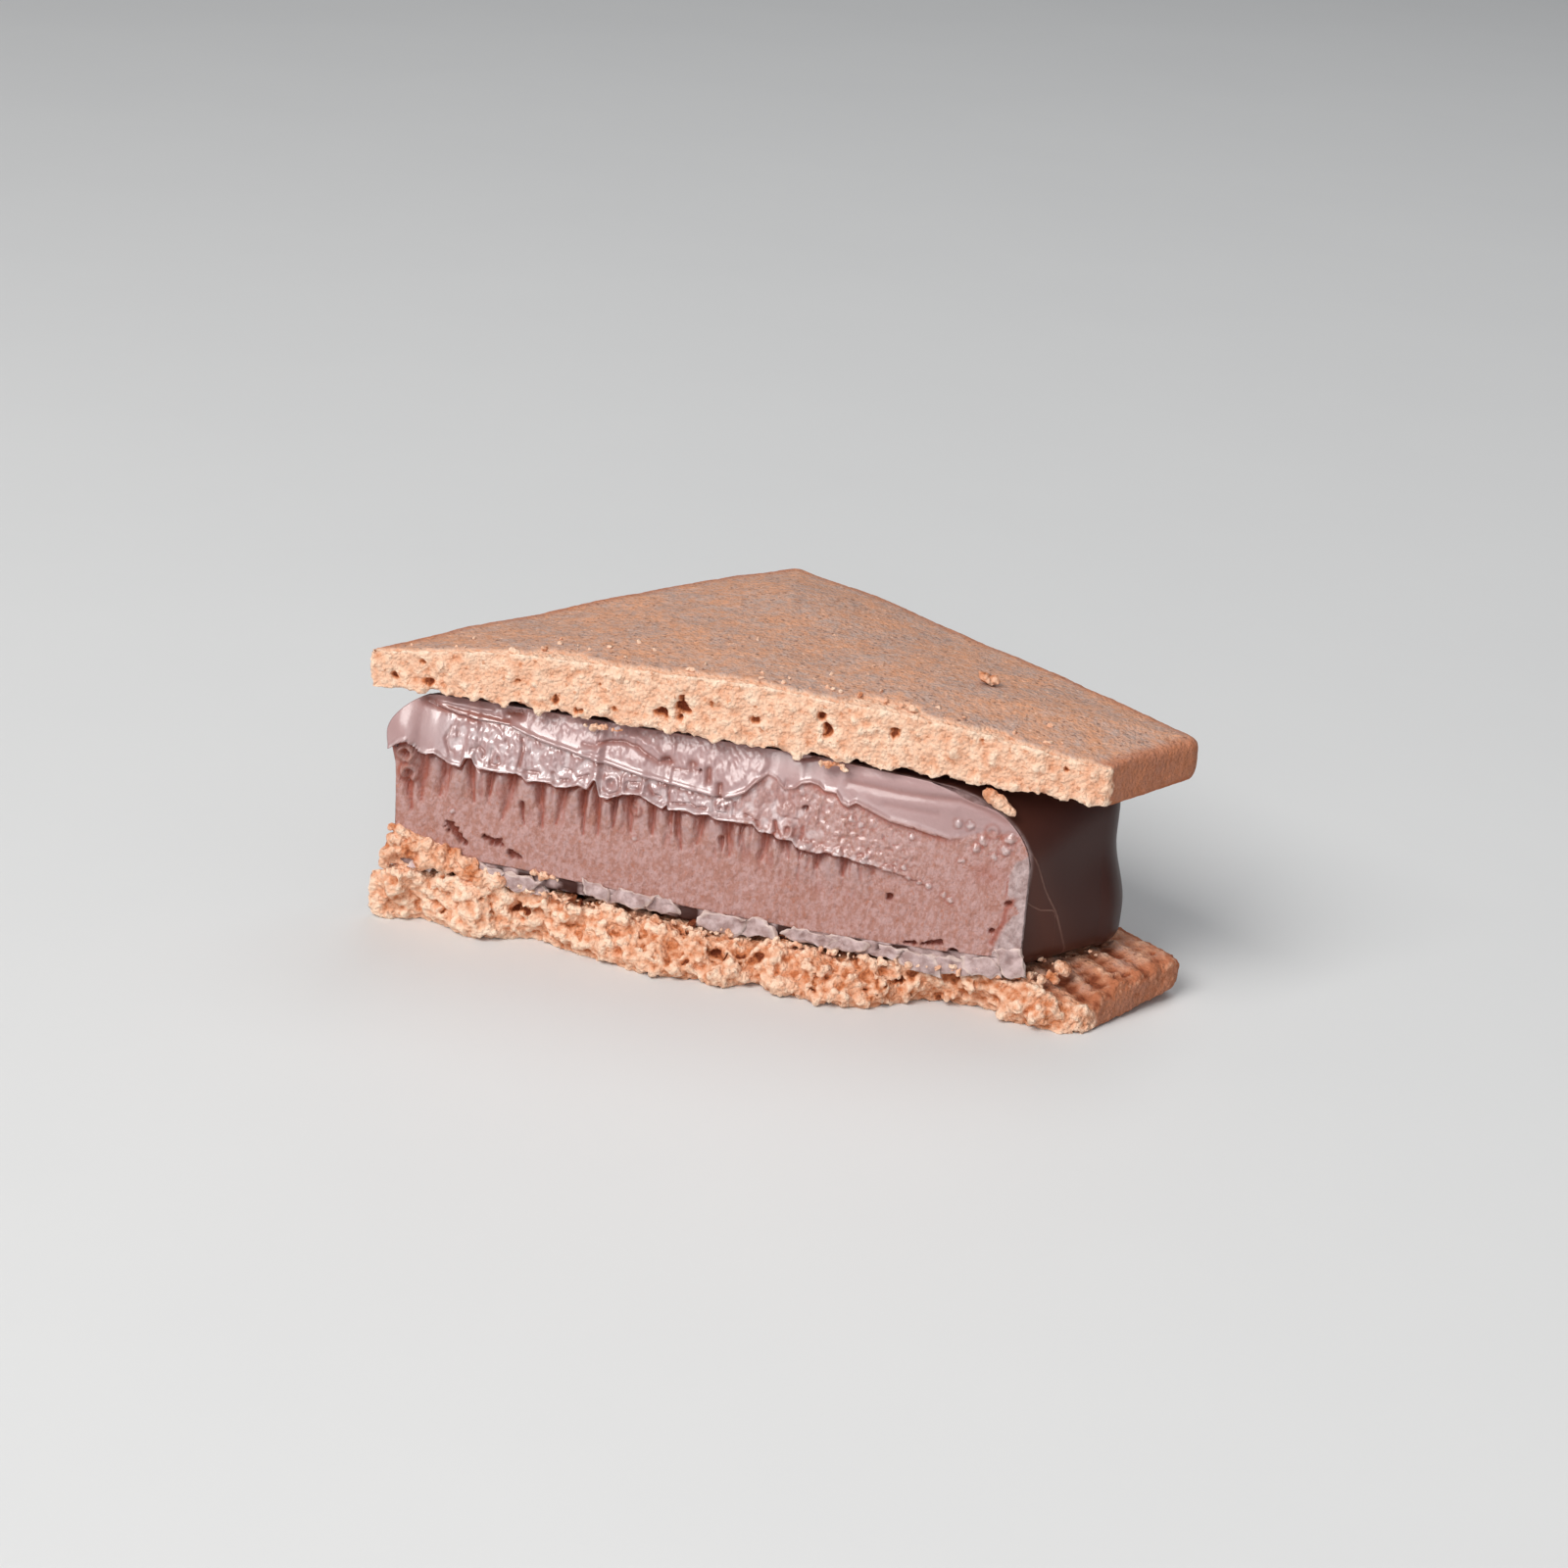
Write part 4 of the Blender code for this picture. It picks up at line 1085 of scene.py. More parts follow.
def loft_filling(shape, shrink, front, columns, side_steps, arc_steps, steps, closed):
    """Adds the filling's faces to shape and returns the loop round its front, or the front faces if it is closed."""
    levels = []
    for height in level_heights(shrink, steps):
        sides = filling_sides(height, shrink, front, side_steps, arc_steps)
        levels.append([[shape.verts.new((place.x, place.y, height)) for place in side] for side in sides])
    backs = [across_row(shape, left[-1], right[-1], columns) for left, right in levels]
    for (left, right), (left_up, right_up) in zip(levels, levels[1:]):
        stitch(shape, left, left_up)
        stitch(shape, right, right_up)
    for lower, upper in zip(backs, backs[1:]):
        stitch(shape, lower, upper)
    fronts = {}
    for which in (0, len(levels) - 1):
        left, right = levels[which]
        rows = [across_row(shape, left[place], right[place], columns) for place in range(len(left) - 1)]
        rows.append(backs[which])
        for near, far in zip(rows, rows[1:]):
            stitch(shape, near, far)
        fronts[which] = rows[0]
    if closed:
        rows = [fronts.get(which) or across_row(shape, left[0], right[0], columns)
                for which, (left, right) in enumerate(levels)]
        return [face for lower, upper in zip(rows, rows[1:]) for face in stitch(shape, lower, upper)]
    up = [left[0] for left, _ in levels]
    down = [right[0] for _, right in reversed(levels)]
    return up + fronts[len(levels) - 1][1:-1] + down + fronts[0][-2:0:-1]


def settle(points):
    """Lays the straight slab on the sagging biscuit and leans its top with the sandwich."""
    x, y = points[:, 0], points[:, 1]
    bottom = bed_height(x, y) + GAP
    top = TOP_UNDERSIDE - LEAN_RIGHT * x - GAP
    points[:, 2] = bottom + (top - bottom) * points[:, 2] / FILLING_HEIGHT
    return points


# %% [markdown]
# ## Lines that the knife drew
#
# The knife dragged the soft top of the filling down over its cut face. That smear hangs like a curtain: it comes
# forward as it goes down, ends in a rolled rim, and shadows what is under it. Two edges matter. The lip is the lower
# end of the smear, and the fold above it is where an upper layer ends. Each is a short list of (place along the cut,
# height) in millimetres, and notches in the lip are part of the list.

# %% Edges of the smear
LIP = ((-31.4, 16.6), (-30.8, 17.1), (-30.0, 17.8), (-29.2, 18.1), (-28.6, 17.8), (-28.1, 17.2), (-27.4, 17.0),
       (-26.6, 17.2), (-25.8, 16.7), (-25.0, 16.35), (-24.2, 16.3), (-23.9, 17.1), (-23.1, 17.2), (-22.8, 16.5),
       (-22.4, 16.35), (-18.5, 16.3), (-18.0, 15.85), (-15.8, 16.05), (-15.3, 15.7), (-14.4, 15.75),
       (-13.3, 16.3), (-12.5, 16.0), (-12.0, 16.9), (-11.7, 16.9), (-11.3, 15.4), (-10.5, 15.35), (-9.3, 15.95),
       (-7.6, 16.2), (-6.8, 15.7), (-5.6, 15.2), (-5.2, 15.6), (-5.0, 15.15), (-3.4, 15.4), (-2.6, 15.1),
       (-1.4, 15.3), (-0.6, 14.9), (2.6, 15.1), (3.1, 14.5), (4.2, 14.4), (5.0, 14.0), (6.2, 14.1), (6.6, 13.5),
       (8.3, 13.2), (9.4, 13.5), (12.5, 12.9), (14.7, 12.5), (17.5, 11.8), (20.4, 10.4), (28.0, 9.4))
FOLD = ((-31.0, 21.7), (-28.0, 21.4), (-25.0, 20.75), (-20.0, 20.3), (-17.5, 19.6), (-12.0, 18.6), (-8.4, 18.0),
        (-5.5, 17.55), (-1.2, 17.0), (-0.2, 17.0), (0.8, 17.3), (1.6, 17.7), (2.4, 18.6), (3.4, 19.3), (4.2, 19.0),
        (5.0, 18.2), (5.8, 18.4), (6.4, 18.95), (7.2, 19.15), (7.9, 19.0), (8.5, 18.6), (9.6, 18.6), (10.2, 17.9),
        (10.8, 17.7), (11.4, 18.1), (12.5, 17.8), (14.5, 17.05), (16.8, 16.75), (19.8, 16.1), (21.5, 16.5),
        (23.0, 17.2), (30.0, 17.2))
# How far the fold stands forward, in millimetres, at each place along the cut.
FOLD_FORWARD = ((-28.0, 0.05), (-26.0, 0.4), (-3.0, 0.35), (-1.0, 0.3), (0.0, 0.5), (2.4, 0.45), (3.4, 0.14),
                (5.6, 0.14), (6.4, 0.3), (9.0, 0.24), (11.0, 0.4), (17.0, 0.34), (19.8, 0.16), (21.5, 0.0))
SMEAR_ROLL_BACK = 1.9 * MM
SMEAR_DEPTH = 2.5 * MM
SMEAR_END = 20.0 * MM
SMEAR_FADE = 12.0 * MM
print("the lip is drawn with", len(LIP), "points and the fold with", len(FOLD))


def smear_fade(x):
    """The smear is strong where the knife went in, on the left, and fades to the right."""
    return np.clip((SMEAR_END - x) / SMEAR_FADE, 0.15, 1)


def smear_roll(points):
    """How far the top of the filling is rolled back from the cut, above the lip of the smear."""
    x, z = points[:, 0], points[:, 2]
    lip = line(LIP, x / MM) * MM
    top = TOP_UNDERSIDE - LEAN_RIGHT * x
    above = np.clip((z - lip) / (top - lip), 0, 1)
    return SMEAR_ROLL_BACK * smear_fade(x) * above**2.2


def roll_back(points):
    points[:, 1] += hump(np.maximum(points[:, 1], 0), SMEAR_DEPTH) * smear_roll(points)
    return points


# %% [markdown]
# ## The chocolate coat
#
# Two lofts, one 1.2 mm inside the other, are open at the cut. A broken rim joins them there. The right side has a
# flat that the knife pressed next to the cut, bounded by a crease with a pale line, and the coat has a slight waist
# where it ran down and thickened at the foot.

# %% Coat
COLUMNS = 130
SIDE_STEPS = 44
ARC_STEPS = 8
LEVELS = 36
RIM_STEPS = 6
RIM_DEPTH = 2.5 * MM
AT_THE_CUT = 0.001 * MM
# The crease on the right side, from the top down: (height, distance back from the cut) in millimetres. The second
# one is a short crack: (distance back, height).
CREASE = ((16.5, 0.0), (12.0, 2.1), (9.5, 3.6), (5.0, 5.2))
SECOND_CREASE = ((0.0, 11.4), (1.0, 10.6), (2.0, 10.0), (3.2, 9.8), (3.8, 9.2))


def coat_shell():
    shape = bmesh.new()
    outside = loft_filling(shape, 0, 0, COLUMNS, SIDE_STEPS, ARC_STEPS, LEVELS, closed=False)
    first = len(shape.verts)
    hollow = loft_filling(shape, COAT, 0, COLUMNS, SIDE_STEPS, ARC_STEPS, LEVELS, closed=False)
    lining = slice(first, len(shape.verts))
    loops = [outside]
    for step in range(1, RIM_STEPS):
        part = step / RIM_STEPS
        loops.append([shape.verts.new(out.co.lerp(inner.co, part)) for out, inner in zip(outside, hollow)])
    loops.append(hollow)
    for outer, inner in zip(loops, loops[1:]):
        stitch(shape, outer + outer[:1], inner + inner[:1])
    bmesh.ops.recalc_face_normals(shape, faces=shape.faces)
    return shaped_object("chocolate_coat", shape), lining


def rim_recess(points, front, lining, inside, low):
    """How far the rim stands back from the cut, in millimetres: ragged at the foot, and lapped over above it."""
    broken = front * (0.25 * grain(points, 1.6 * MM, 14) + 0.15 * grain(points, 0.6 * MM, 15))
    lapped = front * (0.14 + 0.8 * ease(0.1 * MM, 0.5 * MM, inside))
    lapped[lining] = 0.94 * np.clip(1 - points[lining, 1] / RIM_DEPTH, 0, 1) ** 2
    return broken * low + lapped * (1 - low)


def torn_gaps(points):
    """1 where the rim at the foot is torn out and gets painted shade: in small random places, and above the bottom
    biscuit's gaps.
    """
    torn = ease(0.12, 0.35, grain(points, 1.3 * MM, 16))
    ragged = 0.5 * grain(points, 0.7 * MM, 17)
    for middle, _, half_width, _, _ in BOTTOM_GAPS:
        torn = np.maximum(torn, ease(1.1, 0.7, np.abs(points[:, 0] / MM - middle) / half_width + ragged))
    return torn


def make_coat():
    piece, lining = coat_shell()
    points = points_of(piece)
    left, right = side_places(points[:, 2], 0)
    inside = np.minimum(np.minimum(points[:, 0] - left, right - points[:, 0]), FILLING_HEIGHT - points[:, 2])
    points = settle(points)
    front = points[:, 1] < AT_THE_CUT
    z, back = points[:, 2] / MM, points[:, 1] / ALONG.y / MM
    sideways = np.array([ACROSS.x, ACROSS.y, 0])
    on_right = ease(0.3, 0.8, normals_of(piece) @ sideways) * (along_and_across(points)[1] > BACK_EDGE / 2)
    before = line(CREASE[::-1], z) - back
    pressed = 0.34 * ease(0, 2.2, before) - 0.07 * hump(before, 0.2)
    waist = 0.1 * hump(z - 13.0, 2.0) * ease(4, 8, back) - 0.12 * hump(z - 8.2, 2.2) * ease(5, 9, back)
    points -= sideways * ((pressed + waist) * on_right * ~front * MM)[:, None]
    low = ease(8.0, 6.6, z)
    points[:, 1] += MM * rim_recess(points, front, lining, inside, low)
    points = roll_back(points)
    move_points(piece, points)
    paint(piece, "rim", np.maximum(front, 0.55 * ease(0.5, 0.05, back)))
    # Painted shade in the torn places of the rim at the foot.
    paint(piece, "gap", front * low * torn_gaps(points))
    paint(piece, "crease", before)
    paint(piece, "crack", z - line(SECOND_CREASE, back) + 9 * ease(3.5, 4.2, back))
    paint(piece, "creased", on_right * ease(16.5, 15, z))
    paint(piece, "warm", hump(before - 1.5, 2.5) * on_right)
    dress(piece, CHOCOLATE)
    hand_over(piece, "chocolate_coat", "coating")


make_coat()

# %% [markdown]
# ## Marks on the cut face
#
# The cut face is the heart of this cookie. It is one dense sheet of quads, and every mark on it is a push into the
# face or out of it. Grooves hang from the lip where the drag tore the ganache, and the ribs between them are round
# and wet. Creases, ridges, curls, beads and pits follow as short lists, all in millimetres.

# %% Grooves and ribs
GROOVE_BREADTH = 1.5
NARROW_GROOVE = 0.2
# (top, tip, half width of the dark core): a groove tapers from the lip to its tip, and its banks make it half as wide
# again as its core. A narrow one makes no rib beside it.
GROOVES = (((-29.3, 14.0), (-28.9, 11.0), 0.3), ((-27.7, 17.2), (-28.1, 11.8), 0.55),
           ((-25.5, 16.6), (-26.4, 12.6), 0.48), ((-23.4, 17.0), (-23.1, 12.5), 0.4),
           ((-21.5, 16.3), (-21.7, 13.3), 0.36), ((-19.5, 16.2), (-20.4, 11.2), 0.42),
           ((-17.0, 15.9), (-16.6, 11.0), 0.34), ((-14.6, 15.8), (-15.4, 11.6), 0.36),
           ((-12.9, 15.3), (-12.9, 11.0), 0.26), ((-11.6, 16.3), (-11.5, 11.1), 0.34),
           ((-10.1, 15.4), (-10.2, 12.2), 0.22), ((-8.8, 15.8), (-8.6, 11.9), 0.4),
           ((-6.5, 15.5), (-6.6, 12.1), 0.32), ((-5.1, 15.2), (-4.8, 12.3), 0.25),
           ((-4.5, 15.1), (-3.9, 11.0), 0.28), ((-2.1, 15.2), (-2.5, 11.8), 0.4), ((0.2, 14.9), (0.6, 11.1), 0.42),
           ((1.5, 14.6), (1.3, 12.3), 0.15), ((3.8, 14.4), (3.4, 11.2), 0.42), ((5.3, 14.0), (5.8, 11.9), 0.36),
           ((7.0, 13.3), (6.9, 12.0), 0.2), ((8.5, 13.3), (8.4, 11.3), 0.34), ((10.8, 13.1), (10.8, 11.0), 0.3),
           ((13.4, 12.6), (13.3, 11.6), 0.24), ((-18.6, 13.4), (-18.4, 11.2), 0.14),
           ((-0.2, 13.0), (-0.1, 11.6), 0.16))
print(len(GROOVES), "grooves hang from the lip")


def beside_line(x, z, path):
    """Distance of each point from a drawn line, and the part of the line, from 0 to 1, that it is nearest to."""
    path = np.array(path)
    steps = np.hypot(*np.diff(path, axis=0).T)
    walked = np.concatenate([[0], np.cumsum(steps)])
    away = np.full(len(x), 99.0)
    part = np.zeros(len(x))
    for start, (x0, z0), (x1, z1), step in zip(walked, path[:-1], path[1:], steps):
        share = np.clip(((x - x0) * (x1 - x0) + (z - z0) * (z1 - z0)) / step**2, 0, 1)
        distance = np.hypot(x - x0 - share * (x1 - x0), z - z0 - share * (z1 - z0))
        part = np.where(distance < away, (start + share * step) / walked[-1], part)
        away = np.minimum(away, distance)
    return away, part


def knife_grooves(x, z, lip):
    """Depth of the torn grooves from 0 to 1, and how round the ribs between them stand."""
    wander = 0.14 * grain(np.stack([x, 0 * x, z], 1), 1.1, 57)
    cut = np.zeros(len(x))
    for top, tip, width in GROOVES:
        away, part = beside_line(x + wander, z, (top, tip))
        taper = 1 - 0.75 * part
        cut = np.maximum(cut, hump(away, GROOVE_BREADTH * width * taper) * taper * ease(1.0, 0.92, part))
    tops = sorted(top[0] for top, _, width in GROOVES if width > NARROW_GROOVE)
    after = np.clip(np.searchsorted(tops, x), 1, len(tops) - 1)
    left, right = np.array(tops)[after - 1], np.array(tops)[after]
    middle = np.clip((x - left) / (right - left), 0, 1)
    below = lip - z
    ribs = (4 * middle * (1 - middle)) ** 0.6 * ease(0.1, 0.7, below) * ease(4.2, 1.2, below)
    return cut, ribs


# %% Creases and ridges
# (half width, push into the face, painted shade, line). A negative push is a ridge.
MARKS = (
    (0.13, 0.14, 0.4, ((-25.4, 19.6), (-25.8, 18.6), (-25.4, 17.6), (-24.9, 17.4))),
    (0.12, 0.12, 0.3, ((-24.9, 19.8), (-24.7, 18.6))),
    (0.12, 0.2, 0.6, ((-23.3, 18.0), (-22.7, 18.2), (-22.2, 17.9), (-22.2, 17.5))),
    (0.11, 0.24, 0.8, ((-21.5, 18.1), (-21.5, 16.95), (-21.1, 16.8), (-20.7, 17.1), (-20.9, 17.6))),
    (0.1, 0.12, 0.4, ((-20.4, 19.2), (-20.1, 18.6))),
    (0.13, 0.3, 0.9, ((-18.9, 19.4), (-18.7, 18.4), (-19.0, 16.6))),
    (0.12, 0.2, 0.7, ((-18.3, 16.7), (-17.0, 16.75))),
    (0.14, 0.25, 0.8, ((-15.8, 16.9), (-15.5, 16.4))),
    (0.11, 0.2, 0.5, ((-14.9, 17.4), (-14.1, 17.3))),
    (0.11, 0.2, 0.5, ((-15.0, 16.4), (-14.2, 16.5))),
    (0.12, 0.2, 0.5, ((-13.4, 16.9), (-12.5, 17.2))),
    (0.11, 0.25, 0.7, ((-8.9, 17.05), (-8.9, 16.5), (-7.8, 16.6), (-7.8, 17.2), (-8.9, 17.05))),
    (0.12, 0.3, 0.8, ((-7.1, 17.4), (-7.0, 16.9), (-6.6, 16.35), (-5.9, 16.15))),
    (0.1, 0.25, 0.8, ((-5.2, 17.2), (-5.1, 15.7))),
    (0.1, 0.22, 0.7, ((-4.8, 15.8), (-3.1, 16.0), (-2.6, 15.7), (-1.8, 15.85))),
    (0.1, 0.2, 0.6, ((-1.15, 16.5), (-0.95, 15.6), (0.1, 15.55), (0.15, 16.2))),
    (0.1, 0.2, 0.5, ((0.75, 16.6), (0.8, 15.6))),
    (0.12, 0.2, 0.6, ((1.8, 15.75), (2.9, 15.3), (3.1, 14.9))),
    (0.15, 0.28, 0.9, ((4.5, 15.4), (4.7, 14.7), (4.5, 14.4))),
    (0.16, 0.18, 0.5, ((5.4, 15.9), (6.4, 15.8))),
    (0.14, 0.26, 0.8, ((6.9, 15.2), (7.0, 14.6), (6.7, 14.1))),
    (0.3, 0.3, 0.7, ((-28.0, 21.5), (-25.0, 20.95), (-22.0, 20.8), (-20.3, 20.6))),
    (0.35, 0.4, 0.9, ((-20.4, 21.3), (-19.4, 21.3))),
    (0.12, 0.2, 0.5, ((-13.4, 19.8), (-12.2, 19.7))),
    (0.15, 0.32, 0.8, ((-12.0, 20.0), (-9.9, 20.3), (-8.6, 20.1), (-7.2, 19.45), (-6.4, 19.05), (-5.6, 19.3))),
    (0.33, 0.3, 0.8, ((-5.9, 19.4), (-5.3, 19.2))),
    (0.26, 0.3, 0.8, ((-3.5, 19.35), (-3.2, 19.3))),
    (0.1, 0.2, 0.6, ((-5.0, 18.75), (-3.3, 18.85), (-2.6, 18.85))),
    (0.22, 0.4, 0.9, ((-1.9, 19.0), (-1.8, 18.1))),
    (0.22, 0.4, 0.9, ((-0.75, 17.9), (-0.6, 17.1))),
    (0.12, 0.16, 0.7, ((5.6, 20.85), (6.6, 21.0), (7.8, 21.2))),
    (0.12, 0.12, 0.3, ((5.1, 19.0), (5.0, 18.4))),
    (0.15, 0.12, 0.3, ((8.6, 17.3), (8.4, 16.3))),
    (0.9, 0.2, 0.3, ((4.5, 17.6), (5.5, 17.4))),
    (0.3, 0.14, 0.4, ((10.5, 19.7), (15.0, 19.5), (18.0, 19.6), (20.5, 19.75), (22.5, 19.3), (24.6, 18.4))),
    (0.25, 0.07, 0.15, ((14.0, 18.35), (18.5, 18.2))),
    (0.35, -0.1, 0, ((12.0, 20.4), (18.0, 20.3), (21.0, 20.15), (23.0, 19.7))),
    (0.35, -0.08, 0, ((13.0, 18.9), (17.0, 18.9), (20.0, 18.9))),
    (0.2, -0.24, 0, ((-10.2, 20.9), (-8.5, 20.85), (-7.2, 20.35), (-6.1, 19.7))),
    (0.14, -0.15, 0, ((-27.0, 21.6), (-22.0, 21.4))),
    (0.12, -0.15, 0, ((-13.5, 19.3), (-11.8, 19.4))),
    (0.13, -0.16, 0, ((-9.35, 17.6), (-9.3, 16.4))),
    (0.1, -0.15, 0, ((-7.45, 17.4), (-7.45, 16.5))),
    (0.11, -0.16, 0, ((-5.55, 17.3), (-5.5, 16.4))),
    (0.35, -0.16, 0, ((-8.7, 19.2), (-8.0, 19.1))),
    (0.28, -0.15, 0, ((3.0, 20.1), (2.7, 19.6))),
    (0.4, -0.16, 0, ((0.3, 18.2), (1.2, 18.9))))

# (place along the cut, height, radius, how far it stands out) of curls, which are rings round a dimple.
CURLS = ((-29.4, 16.7, 0.85, 0.5), (-29.1, 14.8, 0.8, 0.5), (-10.4, 16.75, 0.72, 0.24), (-0.45, 16.0, 0.4, 0.15),
         (5.6, 14.95, 0.6, 0.25), (-8.2, 14.5, 0.55, 0.2), (23.5, 17.4, 0.5, 0.12))
# (place, height, radius) of round beads, where melted chocolate gathered.
BEADS = ((20.5, 17.7, 0.28), (21.5, 17.6, 0.28), (22.3, 15.6, 0.3), (22.85, 16.4, 0.32), (23.85, 15.1, 0.26),
         (24.75, 15.9, 0.36), (25.1, 16.9, 0.42), (20.9, 14.3, 0.16), (21.25, 14.33, 0.16), (10.3, 13.6, 0.34),
         (12.6, 13.2, 0.3), (12.9, 13.6, 0.2), (14.6, 12.6, 0.24), (15.0, 12.6, 0.22), (15.4, 13.1, 0.2),
         (16.1, 12.9, 0.22), (16.6, 12.0, 0.2), (17.6, 11.7, 0.2), (18.4, 11.4, 0.22), (20.4, 10.4, 0.26),
         (19.8, 10.8, 0.2), (7.2, 13.8, 0.34), (7.7, 13.9, 0.3), (8.7, 13.5, 0.3), (3.4, 14.5, 0.24),
         (16.6, 15.8, 0.2), (11.2, 16.6, 0.24), (12.0, 16.2, 0.2), (-25.0, 11.6, 0.2), (-8.1, 11.7, 0.18))
# (place, height, half width, half height) of holes.
PITS = ((15.1, 9.8, 0.3, 0.42), (6.95, 16.95, 0.26, 0.26), (25.55, 10.9, 0.3, 0.26), (24.3, 8.1, 0.26, 0.26),
        (21.1, 5.6, 0.42, 0.26), (-2.6, 18.9, 0.12, 0.12))
# (half width, line) of slits, where the ganache tore along an air gap.
SLITS = ((0.36, ((-25.2, 10.1), (-24.6, 9.5), (-23.7, 8.6))), (0.3, ((-20.6, 9.2), (-21.2, 9.2), (-22.0, 9.6))),
         (0.3, ((-19.4, 8.3), (-18.7, 8.15))), (0.18, ((17.6, 5.8), (16.8, 5.7))), (0.2, ((19.9, 6.2), (18.4, 5.9))))
# Where the pale rim of the coat begins at the right end: (height, place along the cut).
RIM_EDGE = ((5.3, 24.4), (7.5, 24.7), (8.5, 25.1), (9.3, 25.5), (10.2, 26.5), (11.2, 25.5), (12.0, 25.2),
            (14.0, 25.3), (15.0, 25.9), (16.0, 27.5))
RUST_VEIN = ((25.9, 11.3), (25.4, 10.4), (25.3, 9.2), (24.8, 8.0), (24.4, 7.0))


# %% Curtains of the smear
def ledge(z, edge, forward, length):
    """A layer that comes forward down to its edge, with a rolled rim, and the shadowed step under it."""
    above = z - edge
    curtain = forward * np.exp(-np.maximum(above, 0) / length)
    rim = 0.2 * hump(above - 0.2, 0.16)
    under = hump(above + 0.18, 0.32) * (above < -0.02)
    return -(curtain + rim * np.minimum(forward / 0.4, 1)) * (above > -0.02), under


def smear_layers(x, z, lip, fold):
    """Push and painted shade of the two curtains, with the bulge where the smear turns round the left end."""
    push, shadow = ledge(z, lip, 0.85 * np.clip((19 - x) / 9, 0, 1), 1.8)
    recess = shadow * ease(17, 8, x)
    push += 0.14 * shadow * ease(14, 5, x)
    forward = line(FOLD_FORWARD, x)
    layer, shadow = ledge(z, fold, forward, 1.5)
    bulge = 0.7 * hump(np.hypot((x + 29.7) / 2.6, (z - 19.3) / 2.3), 1.0)
    return push + layer - bulge, np.maximum(recess, 0.75 * shadow * ease(0.02, 0.3, forward))


def smear_paint(x, above, over):
    """How much of the smear lies at a point, and how much of it shines. It is duller up high and at both ends."""
    smear = np.maximum(ease(-0.1, 0.3, above) * ease(2.5, 0, x), ease(-0.1, 0.4, over) * ease(-1.2, 0.2, x))
    smear = np.maximum(smear, 0.45 * ease(0, 0.4, above) * ease(12, 4, x))
    dull = (1 - 0.55 * ease(0.2, 1.0, over)) * (1 - 0.35 * ease(8, 12, x)) * (1 - 0.6 * ease(-26, -28, x))
    return smear, smear * dull


# %% Marks, curls and beads
def drawn_marks(x, z, lumpy):
    """Push and painted shade of the creases and ridges, whose width wavers a little."""
    push, recess = 0 * x, 0 * x
    for width, into, dark, path in MARKS:
        near = hump(beside_line(x, z, path)[0] + 0.25 * width * lumpy, 1.2 * width)
        push += into * near
        recess = np.maximum(recess, dark * near)
    return push, recess


def rolled_curls(x, z):
    """Push and painted shade of the curls: a ring that stands out, a shaded dimple inside it and a shade round it."""
    push, recess = 0 * x, 0 * x
    for place, height, radius, out in CURLS:
        away = np.hypot(x - place, z - height)
        push += out * (0.9 * hump(away, 0.4 * radius) - hump(away - 0.8 * radius, 0.22))
        recess = np.maximum(recess, 0.7 * hump(away, 0.42 * radius))
        recess = np.maximum(recess, 0.6 * hump(away - 1.25 * radius, 0.16))
    return push, recess


def melted_beads(x, z, lumpy):
    """Push of the beads, the painted shade round them, how wet they are, and painted highlights on their tops."""
    push, recess, wet, tops = 0 * x, 0 * x, 0 * x, 0 * x
    for place, height, radius in BEADS:
        away = np.hypot(x - place, z - height) / (1.25 * radius) + 0.45 * lumpy
        push -= 0.75 * radius * np.sqrt(np.clip(1 - away**2, 0, 1))
        recess = np.maximum(recess, 0.45 * hump(away - 1.3, 0.3))
        wet = np.maximum(wet, ease(1.3, 1.0, away))
        tops = np.maximum(tops, ease(0.8, 0.3, away + 0.4 * lumpy))
    return push, recess, wet, tops


# %% Wrinkles, scratches and holes
def wrinkles(x, z, flat, above, over):
    """Push, wetness and glints: crumpled like foil above the fold, in a band under it, and bubbly on the right."""
    band = ease(0.2, 0.5, above) * ease(0.0, -0.4, over) * span(-26.5, -25, 6, 11, x)
    foil = ease(0.3, 1.2, over) * span(-24, -20, 1, 4, x)
    bubbly = ease(0, 0.5, above) * ease(0, -0.6, over) * span(2, 9, 16, 19, x)
    beaded = hump(np.hypot((x - 23.2) / 2.4, (z - 16.4) / 1.5), 1.0)
    fine, broad = grain(flat, (0.26, 1, 0.34), 52), grain(flat, (0.7, 1, 0.9), 51)
    push = band * (0.16 * broad + 0.1 * fine) + foil * (0.12 * broad + 0.07 * fine)
    push += (bubbly + beaded) * (0.12 * grain(flat, 0.3, 58) + 0.14 * grain(flat, 0.6, 59))
    return push, 0.7 * np.maximum(bubbly, beaded), 0.5 * band * ease(0.02, 0.4, broad)


def combed_body(x, flat, below):
    """Push and darkness of the plain body, with fine upright scratches under the lip."""
    comb = ease(0.1, 0.45, grain(flat, (0.5, 1, 2.6), 60)) * span(0.0, 0.5, 2.0, 5.0, below)
    comb *= span(-28, -26, 12, 16, x)
    push = 0.07 * ease(0, 1, below) * grain(flat, (0.4, 1, 0.9), 53) + 0.06 * grain(flat, (1.8, 1, 2.2), 54)
    return push + 0.14 * comb, 0.5 * comb


def air_holes(x, z, flat):
    """1 inside the holes and slits that air left, with ragged borders; the finish paints shade there."""
    ragged = 0.3 * grain(flat, 0.3, 56)
    pit = 0 * x
    for place, height, half_width, half_height in PITS:
        away = np.hypot((x - place) / half_width, (z - height) / half_height) + ragged
        pit = np.maximum(pit, ease(1.3, 0.5, away))
    for half_width, path in SLITS:
        away, part = beside_line(x, z, path)
        pit = np.maximum(pit, ease(1.3, 0.5, away / half_width * (0.75 + 0.6 * part) + 2.5 * ragged))
    return pit


